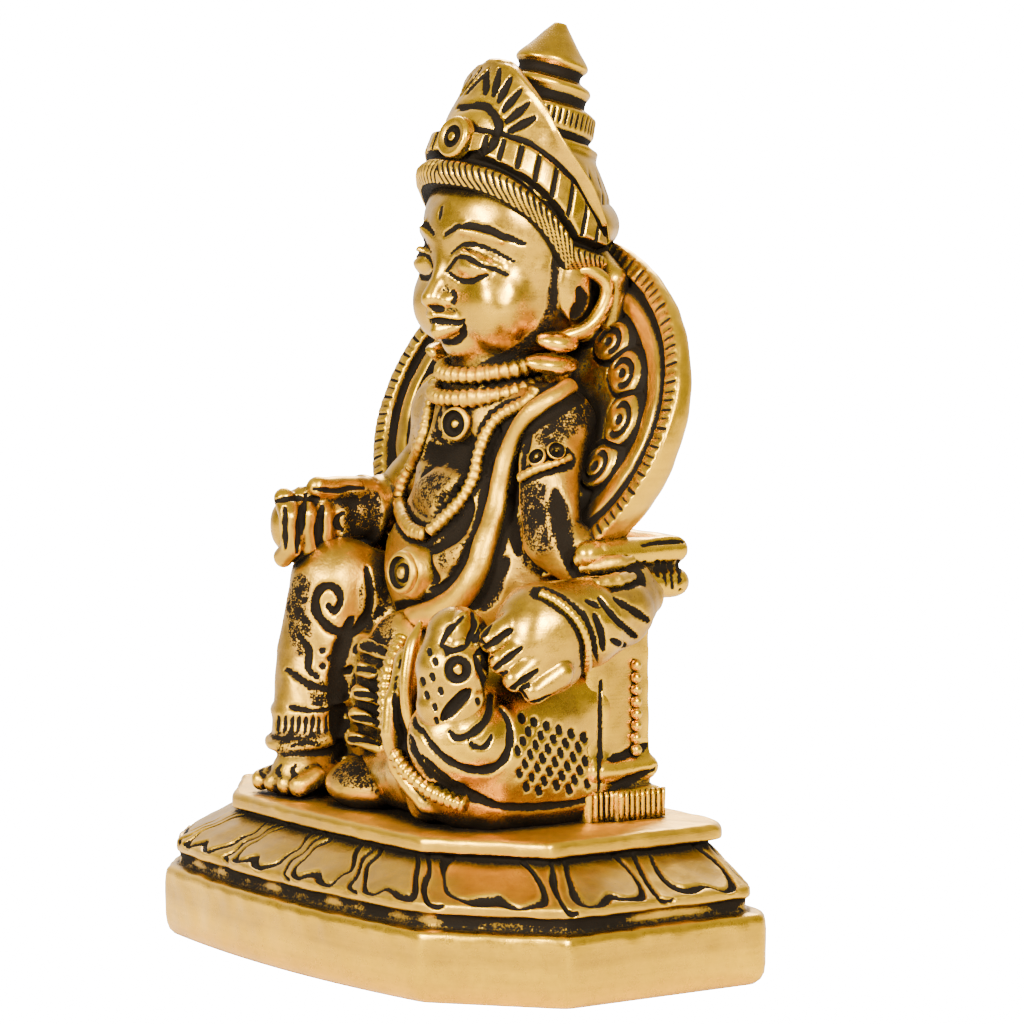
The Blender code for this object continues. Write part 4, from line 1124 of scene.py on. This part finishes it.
# %% Torso
CHEST_HOLLOW = [[(432, 452), (448, 448), (466, 458)], [(440, 440), (462, 446)]]
BELLY_BOSS = [[(436, 492), (456, 490)]]
BLACK_BY_THREAD = [[(497, 428), (488, 452), (486, 476)],
                   [(527, 435), (517, 466), (510, 499), (512, 525), (519, 552)]]
LOWER_HOLLOW = [[(470, 500), (462, 520), (440, 545), (424, 548)]]
BELLY_LENS = [[(438, 560), (452, 556), (466, 545)]]
UNDER_LENS = [[(430, 590), (446, 586), (462, 568), (470, 545)], [(425, 555), (432, 580)]]
SHOULDER_GRAIN = [[(548, 428), (575, 412), (596, 410)]]
ARM_GRAIN = [[(530, 500), (535, 520), (542, 538)]]
ARM_BLACK = [[(556, 492), (560, 520), (566, 548), (572, 565)]]
FLANK_BLACK = [[(600, 428), (606, 470), (600, 520)], [(505, 560), (490, 590), (470, 615)]]
CHEST_LEFT = [[(444, 400), (440, 425), (434, 450), (424, 476)]]
chase("body", [
    (CHEST_HOLLOW, 18, 1.2, 1, 1), (BELLY_BOSS, 24, -1.2, 0.28, 1), (BLACK_BY_THREAD, 9, 0.5, 1, 0.8),
    (LOWER_HOLLOW, 11, 0.7, 1, 1), (BELLY_LENS, 14, -0.5, 0.25, 1), (UNDER_LENS, 9, 0.5, 1, 1),
    (SHOULDER_GRAIN, 26, 0.1, 0.45, 1), (ARM_GRAIN, 26, 0.1, 0.5, 1), (ARM_BLACK, 15, 0.3, 0.9, 1),
    (CHEST_LEFT, 9, 0.4, 0.9, 1), (FLANK_BLACK, 13, 0.4, 0.75, 1)])

# %% Fist
FIST_FINGERS = [[(284, 507), (284, 548)], [(306, 494), (301, 520), (298, 553)],
                [(322, 505), (319, 534), (322, 554)]]
FIST_MARKS = [[(345, 512), (338, 517), (337, 525), (343, 531)],
              [(313, 489), (336, 491), (351, 488), (365, 488)],
              [(268, 503), (290, 498), (318, 499)]]
WRIST_GRAIN = [[(352, 500), (356, 540)], [(370, 500), (374, 530)]]
chase("right_hand", [(FIST_FINGERS, 4.5, 0.4, 1, 0), (FIST_MARKS, 3.4, 0.25, 1, 0),
                     (WRIST_GRAIN, 16, 0.1, 0.4, 1)])

# %% Right leg and lap
KNEE_SPIRAL = [[(367, 567), (371, 595), (366, 617), (350, 632), (330, 628), (316, 612), (315, 596),
                (324, 586), (335, 588), (341, 600), (335, 611), (328, 606)]]
LEAF_CURVE = [[(298, 634), (308, 649), (308, 669), (318, 677)], [(285, 669), (310, 685), (333, 690)],
              [(290, 707), (312, 711), (335, 710)]]
SHIN_PITS = [[(u, v), (u + 1.5, v)] for u, v in (
    (297, 590), (303, 600), (297, 610), (303, 620), (322, 650), (330, 658), (322, 666), (332, 674),
    (338, 650), (340, 664))]
HEM_RIBS = [[(u, 716), (u - 1, 732)] for u in range(278, 328, 7)]
TOES = [[(u, 764), (u - 4, 770), (u, 777)] for u in (264, 280, 296)] + [[(290, 746), (306, 742), (320, 746)]]
PLEAT_BLACK = [[(342, v), (364, v - 4), (385, v)] for v in (672, 698, 722, 742)]
LAP_BLACK = [[(352, 620), (340, 655), (337, 700), (341, 760)], [(388, 650), (378, 700), (384, 752)],
             [(395, 655), (372, 646), (356, 650)]]
KNEE_GRAIN = [[(300, 580), (300, 650)], [(375, 590), (382, 640)]]
SHIN_GRAIN = [[(318, 690), (322, 700)], [(285, 742), (325, 742)]]
SEAT_GRAIN = [[(345, 770), (372, 778), (400, 790)], [(398, 780), (430, 800), (462, 806)]]
chase("right_leg", [(KNEE_SPIRAL, 5.5, 0.5, 1, 0), (LEAF_CURVE, 4.0, 0.35, 1, 0),
                    (SHIN_PITS, 3.2, 0.25, 0.9, 0), (SHIN_GRAIN, 16, 0.05, 0.35, 1),
                    (HEM_RIBS, 2.4, 0.2, 0.9, 0), (TOES, 2.8, 0.2, 0.9, 0), (PLEAT_BLACK, 5.5, 0.4, 1, 0.5),
                    (LAP_BLACK, 11, 0.4, 1, 0.9), (SEAT_GRAIN, 20, 0.15, 0.45, 1),
                    (KNEE_GRAIN, 20, 0.05, 0.38, 1)])

# %% Left hand and mongoose
KNUCKLES = [[(510, 630), (496, 641), (478, 653)], [(521, 648), (507, 659), (489, 673)],
            [(538, 671), (523, 682), (506, 695)]]
NAILS = [[(487, 632), (478, 638), (484, 645)], [(492, 656), (484, 662), (488, 670)],
         [(506, 672), (497, 678), (502, 687)], [(530, 684), (521, 691), (527, 700)]]
SLEEVE = [[(595, 614), (602, 632), (604, 651)], [(599, 597), (618, 620), (637, 638)],
          [(615, 598), (634, 610), (650, 621)], [(612, 640), (628, 648)], [(586, 600), (600, 606)]]
UNDER_ARM = [[(530, 705), (558, 696), (595, 675), (632, 653)]]
EAR = [[(473, 612), (475, 627), (467, 645)], [(464, 616), (449, 629), (440, 644)],
       [(440, 644), (452, 650), (466, 646)]]
EYE_RING = [[(458.5 + 10 * math.cos(a), 669.5 + 10.5 * math.sin(a)) for a in np.linspace(0, math.tau, 17)]]
MUZZLE = [[(u, v), (u + 1, v + 3)] for u, v in (
    (434, 660), (431, 676), (425, 694), (434, 706), (446, 650), (428, 650), (440, 690), (421, 680),
    (478, 700), (484, 712), (436, 720))]
MOUTH = [[(470, 692), (456, 705), (443, 720)]]
JAW = [[(491, 695), (488, 716), (475, 731), (458, 738), (449, 731)]]
HAND_GAP = [[(476, 655), (484, 678), (498, 700), (520, 706)], [(490, 622), (474, 640)]]
chase("hand_and_mongoose", [(KNUCKLES, 4.5, 0.4, 1, 0), (NAILS, 2.6, 0.2, 0.9, 0),
                            (SLEEVE, 4.0, 0.35, 1, 0), (UNDER_ARM, 5, 0.3, 1, 0), (EAR, 3.8, 0.35, 1, 0),
                            (EYE_RING, 5.4, 0.5, 1, 0), (MUZZLE, 3.2, 0.25, 1, 0), (MOUTH, 8.5, 0.7, 1, 0),
                            (JAW, 6.5, 0.4, 1, 0.3), (HAND_GAP, 5, 0.3, 1, 0)])
chase("body", [(SLEEVE, 4.0, 0.35, 1, 0)])

# %% Left leg
ROUNDEL = [[(501, 708), (510, 723), (511, 747), (499, 766), (478, 772), (452, 764), (432, 747), (421, 729)]]
CRESCENT_SMALL = [[(493, 736), (486, 747), (475, 747), (469, 740)]]
HEM_LINES = [[(408, 679), (407, 701), (413, 723), (423, 733)],
             [(421, 757), (440, 776), (466, 792), (492, 803)],
             [(408, 735), (418, 762), (430, 779)]]
UNDER_LEG = [[(428, 783), (456, 795), (484, 803), (512, 808), (560, 806), (598, 798)]]
LATTICE = [[(u, v), (u + 1, v + 4)] for u, v in ((522 + 12.5 * (i - j / 2) + 0.8 * j, 716 + 9.5 * j + 4 * i)
           for j in range(7) for i in range(9)) if 517 < u < 596 and v < 790]
PANEL_LINE = [[(600, 679), (601, 730), (599, 790)]]
BY_HEM = [[(404, 645), (397, 690), (402, 730), (418, 762), (448, 788), (480, 802)]]
chase("left_leg", [(BY_HEM, 5, 0.4, 1, 0.5), (ROUNDEL, 5.5, 0.5, 1, 0), (CRESCENT_SMALL, 3.4, 0.3, 1, 0),
                   (HEM_LINES, 5, 0.45, 1, 0.4), (UNDER_LEG, 5, 0.3, 1, 0.6), (LATTICE, 4.2, 0.32, 1, 0),
                   (PANEL_LINE, 3, 0.3, 1, 0), (JAW, 5.5, 0.4, 1, 0.3)])

# %% Throne back
RAIL_LINE = [[(643, 545), (662, 541), (688, 540)]]
RAIL_RIBS = [[(u, 562), (u + 2, 590)] for u in (646, 657, 664, 671, 679)]
ROSETTE = [[(625 + 10 * math.cos(a), 583 + 11 * math.sin(a)) for a in np.linspace(0, math.tau, 15)]]
FOOT_LINES = [[(610, 760), (650, 745)], [(602, 792), (630, 780), (658, 769)]]
chase("throne_back", [(RAIL_LINE, 4, 0.3, 1, 0), (RAIL_RIBS, 2.6, 0.25, 1, 0), (ROSETTE, 3, 0.3, 1, 0),
                      (PANEL_LINE, 3, 0.3, 1, 0), (FOOT_LINES, 4.5, 0.35, 1, 0.3)])
print("chased")

# %% [markdown]
# ## Antique brass
#
# The finish is two things on one metal. Bare brass, rubbed with cloth, is warm and fairly glossy, with a soft
# change of tone and the fine pores of a sand casting. The black is a sulphide that the rubbing doesn't reach:
# dull, not metallic, thickest at the bottom of a line and broken into specks where it thins out. The mask
# between them adds up how deep the carving is, how far the place lies below what is round it, and how much
# of the sky above it is shut off, and a fine noise breaks its edge.

# %% Nodes, written short


def new_node(tree, kind, inputs=None, **settings):
    """Adds a node, sets its properties, and puts a value or a link into each named input."""
    made = tree.nodes.new(kind)
    for name, value in settings.items():
        setattr(made, name, value)
    for name, value in (inputs or {}).items():
        if isinstance(value, bpy.types.NodeSocket):
            tree.links.new(value, made.inputs[name])
        else:
            made.inputs[name].default_value = value
    return made


def sum_up(tree, operation, *values, clamp=False):
    """A Math node on its first inputs."""
    made = new_node(tree, "ShaderNodeMath", dict(enumerate(values)), operation=operation, use_clamp=clamp)
    return made.outputs[0]


def ramp(tree, value, low, high, out_low=0.0, out_high=1.0):
    """Moves a value smoothly from one range to another and holds it there."""
    return new_node(tree, "ShaderNodeMapRange", {"Value": value, "From Min": low, "From Max": high,
                    "To Min": out_low, "To Max": out_high}, interpolation_type="SMOOTHSTEP").outputs[0]


def blend_colours(tree, share, one, two):
    """Mixes two colours by a share."""
    made = new_node(tree, "ShaderNodeMix", data_type="RGBA")
    for name, value in (("Factor", share), ("A", one), ("B", two)):
        socket = next(s for s in made.inputs if s.name == name and s.enabled)
        if isinstance(value, bpy.types.NodeSocket):
            tree.links.new(value, socket)
        else:
            socket.default_value = value
    return next(s for s in made.outputs if s.enabled)


# %% Aged brass: the group
BARE_DEEP, BARE_PALE = (0.40, 0.205, 0.022, 1), (0.99, 0.535, 0.0, 1)
BLACK = (0.010, 0.007, 0.004, 1)
PORE, PATCH, CLOUD = 5200.0, 1100.0, 170.0      # noise in turns a metre: pores, specks, changes of tone
BLACK_FROM, BLACK_FULL = 0.42, 0.66             # sums of soil at which the black starts and is whole
FILE_MARKS = (130.0, 130.0, 2600.0)             # long level marks of the file, thin from top to bottom


def aged_brass():
    """Named inputs: how carved, how high or low, how sheltered and how rough a place is."""
    tree = bpy.data.node_groups.new("aged_brass", "ShaderNodeTree")
    for name in ("Carved", "Rise", "Shelter", "Rough"):
        tree.interface.new_socket(name, in_out="INPUT", socket_type="NodeSocketFloat")
    tree.interface.new_socket("Color", in_out="OUTPUT", socket_type="NodeSocketColor")
    for name in ("Metallic", "Roughness", "Height"):
        tree.interface.new_socket(name, in_out="OUTPUT", socket_type="NodeSocketFloat")
    given, result = tree.nodes.new("NodeGroupInput"), tree.nodes.new("NodeGroupOutput")
    place = tree.nodes.new("ShaderNodeTexCoord").outputs["Object"]

    def noise(scale, detail, roughness=0.55):
        return new_node(tree, "ShaderNodeTexNoise", {"Vector": place, "Scale": scale, "Detail": detail,
                        "Roughness": roughness}).outputs[0]

    drawn_out = new_node(tree, "ShaderNodeVectorMath", {0: place, 1: FILE_MARKS}, operation="MULTIPLY")
    streak = new_node(tree, "ShaderNodeTexNoise", {"Vector": drawn_out.outputs[0], "Scale": 1.0,
                                                   "Detail": 3}).outputs[0]
    pore, patch, cloud = noise(PORE, 3), noise(PATCH, 4, 0.65), noise(CLOUD, 2)
    low = ramp(tree, given.outputs["Rise"], 0.0, -0.07)
    high = ramp(tree, given.outputs["Rise"], 0.0, 0.09)
    speck = sum_up(tree, "ADD", sum_up(tree, "MULTIPLY", sum_up(tree, "SUBTRACT", pore, 0.5), 1.4),
                   sum_up(tree, "MULTIPLY", sum_up(tree, "SUBTRACT", patch, 0.5), 1.5))
    rough = given.outputs["Rough"]
    breakup = sum_up(tree, "MULTIPLY", speck, sum_up(tree, "MULTIPLY_ADD", rough, 1.1, 0.55))
    soil = sum_up(tree, "MULTIPLY", given.outputs["Carved"], 1.25)
    soil = sum_up(tree, "ADD", soil, sum_up(tree, "MULTIPLY", low, 0.6))
    soil = sum_up(tree, "ADD", soil, sum_up(tree, "MULTIPLY", given.outputs["Shelter"], 1.0))
    soil = sum_up(tree, "ADD", soil, sum_up(tree, "MULTIPLY", rough, 0.42))
    soil = sum_up(tree, "SUBTRACT", soil, sum_up(tree, "MULTIPLY", high, 0.4))
    black = ramp(tree, sum_up(tree, "ADD", soil, breakup), BLACK_FROM, BLACK_FULL)
    tone = sum_up(tree, "ADD", sum_up(tree, "MULTIPLY", cloud, 0.7), sum_up(tree, "MULTIPLY", high, 0.45))
    tone = sum_up(tree, "ADD", tone, sum_up(tree, "MULTIPLY", sum_up(tree, "SUBTRACT", patch, 0.5), 0.5))
    tone = sum_up(tree, "ADD", tone, sum_up(tree, "MULTIPLY", sum_up(tree, "SUBTRACT", streak, 0.5), 0.35),
                  clamp=True)
    tone = sum_up(tree, "SUBTRACT", tone, sum_up(tree, "MULTIPLY", rough, 0.35), clamp=True)
    bare = blend_colours(tree, tone, BARE_DEEP, BARE_PALE)
    colour = blend_colours(tree, black, bare, BLACK)
    metallic = ramp(tree, black, 0.3, 1.0, 1.0, 0.0)
    gloss = sum_up(tree, "MULTIPLY_ADD", patch, 0.20, 0.18)
    gloss = sum_up(tree, "ADD", gloss, sum_up(tree, "MULTIPLY", rough, 0.24))
    roughness = sum_up(tree, "MULTIPLY_ADD", black, 0.3, gloss)
    depth = sum_up(tree, "MULTIPLY_ADD", rough, 1.0, 0.12)
    height = sum_up(tree, "MULTIPLY", sum_up(tree, "ADD", pore, sum_up(tree, "MULTIPLY", patch, 1.4)), depth)
    height = sum_up(tree, "ADD", height, sum_up(tree, "MULTIPLY", streak, 0.16))
    for name, value in (("Color", colour), ("Metallic", metallic), ("Roughness", roughness),
                        ("Height", height)):
        tree.links.new(value, result.inputs[name])
    return tree


# %% Aged brass: the material
brass = bpy.data.materials.new("antique_brass")
brass.use_nodes = True
net = brass.node_tree
shader = net.nodes["Principled BSDF"]
shader.inputs["Specular IOR Level"].default_value = 0.03
carved_in = new_node(net, "ShaderNodeAttribute", attribute_name="carved").outputs["Fac"]
rise_in = new_node(net, "ShaderNodeAttribute", attribute_name="rise").outputs["Fac"]
rough_in = new_node(net, "ShaderNodeAttribute", attribute_name="rough").outputs["Fac"]
open_sky = new_node(net, "ShaderNodeAmbientOcclusion", {"Distance": 0.0026}, samples=6).outputs["AO"]
place = net.nodes.new("ShaderNodeTexCoord").outputs["Object"]
foot = new_node(net, "ShaderNodeSeparateXYZ", {"Vector": place})
off_floor = ramp(net, foot.outputs["Z"], 0.0008, 0.0030)      # the floor shuts no sky off from the brass
shelter_in = sum_up(net, "MULTIPLY", ramp(net, open_sky, 0.86, 0.38), off_floor)
finish = new_node(net, "ShaderNodeGroup", node_tree=aged_brass())
for name, value in (("Carved", carved_in), ("Rise", rise_in), ("Shelter", shelter_in), ("Rough", rough_in)):
    net.links.new(value, finish.inputs[name])
for name, socket in (("Color", "Base Color"), ("Metallic", "Metallic"), ("Roughness", "Roughness")):
    net.links.new(finish.outputs[name], shader.inputs[socket])
grain = new_node(net, "ShaderNodeBump", {"Strength": 0.55, "Distance": 0.00012,
                                         "Height": finish.outputs["Height"]})
net.links.new(grain.outputs["Normal"], shader.inputs["Normal"])
print("finish:", len(net.nodes), "nodes in the material")

# %% [markdown]
# ## Studio
#
# The photograph is a product shot on white. A softbox stands on each side of the camera, the right one
# stronger, and a broad weak one behind on the left. Level faces mirror the lit paper that hangs behind the
# idol, the front mirrors a dimmer room, and that is what makes cast brass look hard and bright.

# %% Floor, sky and lamps
SEEN_WHITE = 19.0                 # how bright the floor and the sky look to the camera
BACKDROP_WAY = (-0.82, 0.57, 0.1)  # where the lit white paper hangs behind the idol
FLOOR_GLOW = 0.30                 # how bright the floor is to everything else


def seen_or_lit(tree, seen_strength, lit_strength):
    """One strength for what the camera sees and another for the light that falls on things."""
    path = tree.nodes.new("ShaderNodeLightPath").outputs["Is Camera Ray"]
    return sum_up(tree, "ADD", sum_up(tree, "MULTIPLY", path, seen_strength),
                  sum_up(tree, "MULTIPLY", sum_up(tree, "SUBTRACT", 1.0, path), lit_strength))


floor_mesh = bpy.data.meshes.new("floor")
floor_mesh.from_pydata([(-3, -3, 0), (3, -3, 0), (3, 3, 0), (-3, 3, 0)], [], [(0, 1, 2, 3)])
floor = bpy.data.objects.new("floor", floor_mesh)
bpy.context.collection.objects.link(floor)
paper = bpy.data.materials.new("paper")
paper.use_nodes = True
sheet = paper.node_tree.nodes["Principled BSDF"]
sheet.inputs["Base Color"].default_value = (0.70, 0.68, 0.65, 1)
sheet.inputs["Roughness"].default_value = 0.9
sheet.inputs["Specular IOR Level"].default_value = 0.1
sheet.inputs["Emission Color"].default_value = (1, 1, 1, 1)
glow = seen_or_lit(paper.node_tree, SEEN_WHITE, FLOOR_GLOW)
paper.node_tree.links.new(glow, sheet.inputs["Emission Strength"])
floor_mesh.materials.append(paper)

world = bpy.data.worlds.new("studio")
bpy.context.scene.world = world
world.use_nodes = True
sky = world.node_tree
way = sky.nodes.new("ShaderNodeTexCoord").outputs["Generated"]
up = new_node(sky, "ShaderNodeSeparateXYZ", {"Vector": way})
behind = new_node(sky, "ShaderNodeVectorMath", {0: way, 1: BACKDROP_WAY}, operation="DOT_PRODUCT")
room = ramp(sky, up.outputs["Z"], -0.1, 0.9, 0.34, 0.72)
backdrop = ramp(sky, behind.outputs["Value"], 0.3, 0.9, 0.0, 1.1)
glow = sum_up(sky, "ADD", room, backdrop)
sky.links.new(seen_or_lit(sky, SEEN_WHITE, glow), sky.nodes["Background"].inputs["Strength"])
sky.nodes["Background"].inputs["Color"].default_value = (1, 1, 1, 1)


def softbox(name, place, size, power):
    """A square lamp that faces the idol."""
    lamp = bpy.data.lights.new(name, "AREA")
    lamp.energy, lamp.size = power, size
    thing = bpy.data.objects.new(name, lamp)
    thing.location = place
    thing.rotation_euler = (Vector((0, 0, 0.045)) - thing.location).to_track_quat("-Z", "Y").to_euler()
    bpy.context.collection.objects.link(thing)


softbox("key", (0.60, -0.22, 0.36), 0.15, 11)
softbox("front", (0.10, -0.62, 0.30), 0.15, 8)
softbox("rear_left", (-0.45, 0.35, 0.45), 0.30, 6)

# %% [markdown]
# ## From arrays to pieces
#
# Each skin gets one more number, its rise: how far a place stands above the mean of what is round it, in mm.
# Ridges come out above nought and hollows below. Then it is made a mesh in metres and rides on the one body.

# %% Make the pieces
RISE_ROUNDS = 8


def rise_of(places, faces):
    """The place less its many times averaged neighbourhood, measured along the normal."""
    calm = places
    for _ in range(RISE_ROUNDS):
        calm = (calm + neighbour_mean(calm, faces)) / 2
    return np.einsum("ij,ij->i", places - calm, normals_of(places, faces))


DENT, DENT_WAVES, DENT_SPAN = 0.14, 24, (2.0, 8.0)     # depth in mm, how many waves, and their lengths in mm


def dented(places, faces, depth):
    """Sinks a skin by soft dents: the sum of waves of fixed directions and lengths, never out of the skin and
    never on the flat underside."""
    chance = np.random.default_rng(7)
    ways = unit(chance.normal(size=(DENT_WAVES, 3)))
    turns = chance.uniform(0, math.tau, DENT_WAVES)
    waves = sum(np.sin(places @ way * math.tau / span + turn)
                for way, span, turn in zip(ways, np.geomspace(*DENT_SPAN, DENT_WAVES), turns))
    sunk = depth * np.clip(0.5 + waves / (2 * math.sqrt(2 * DENT_WAVES)), 0, 1) * np.clip(places[:, 2], 0, 1)
    return places - sunk[:, None] * normals_of(places, faces)


WALL_BACK, RAIL_BACK, WALL_HALF, WALL_TOP, RAIL_TOP = 11.2, 13.9, 18.5, 35.3, 40.0      # mm
PLATE_DEPTH, PLATE_SHARE = 1.2, 0.9      # mm into the halo's plate, and how far out it holds, squared
NAPE = 67.0                              # height in mm above which the head may pass over the plate


def tucked(places):
    """Keeps the figure in front of the halo's back and the throne's: y goes no further than either."""
    x, y, z = places.T
    plate = HALO_CENTRE[1] + HALO_LEAN * (z - HALO_CENTRE[2]) + PLATE_DEPTH + 4 * np.maximum(z - NAPE, 0)
    in_plate = (x / HALO_WIDE) ** 2 + ((z - HALO_CENTRE[2]) / HALO_TALL) ** 2 < PLATE_SHARE
    wall = np.where(z < WALL_TOP, WALL_BACK, RAIL_BACK)
    free = np.full(len(x), 1e3)
    limit = np.where(z < RAIL_TOP, np.where(np.abs(x) < WALL_HALF, wall, free),
                     np.where(in_plate, plate, free))
    return np.column_stack([x, np.minimum(y, limit), z])


FIGURE = ("body", "right_hand", "left_leg", "right_leg", "head")


def cast_piece(name, skins):
    """Joins a piece's skins into one mesh, with carved, rise and rough as its attributes."""
    places, faces = merged(*[(dented(p, f, DENT * (1 + ROUGH.get(name, 0))), f) for p, f, _, _ in skins])
    places = tucked(places) if name in FIGURE else places
    carved, rough = (np.concatenate([s[i] for s in skins]) for i in (2, 3))
    rise = np.concatenate([rise_of(p, f) for p, f, _, _ in skins])
    rough = np.maximum(rough, ROUGH.get(name, 0.0))
    mesh = bpy.data.meshes.new(name)
    mesh.vertices.add(len(places))
    mesh.vertices.foreach_set("co", (places * MM).astype(np.float32).ravel())
    mesh.loops.add(faces.size)
    mesh.loops.foreach_set("vertex_index", faces.astype(np.int32).ravel())
    mesh.polygons.add(len(faces))
    mesh.polygons.foreach_set("loop_start", np.arange(0, faces.size, 3, dtype=np.int32))
    mesh.update(calc_edges=True)
    mesh.validate()
    mesh.shade_smooth()
    for title, values in (("carved", carved), ("rise", rise), ("rough", rough)):
        mesh.attributes.new(title, "FLOAT", "POINT").data.foreach_set("value", values.astype(np.float32))
    piece = bpy.data.objects.new(name, mesh)
    bpy.context.collection.objects.link(piece)
    piece.data.materials.append(brass)
    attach(piece, "root")
    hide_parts("kubera_statue")
    return piece


ROUGH = {"body": 0.5, "right_leg": 0.35, "right_hand": 0.1, "halo": 0.15}
total = 0
for name, skins in CAST.items():
    piece = cast_piece(name, skins)
    total += len(piece.data.polygons)
    low, high = np.array([p[0].min(0) for p in skins]).min(0), np.array([p[0].max(0) for p in skins]).max(0)
    print(name, len(piece.data.polygons), "triangles", low.round(1), high.round(1))
print("in all:", total)
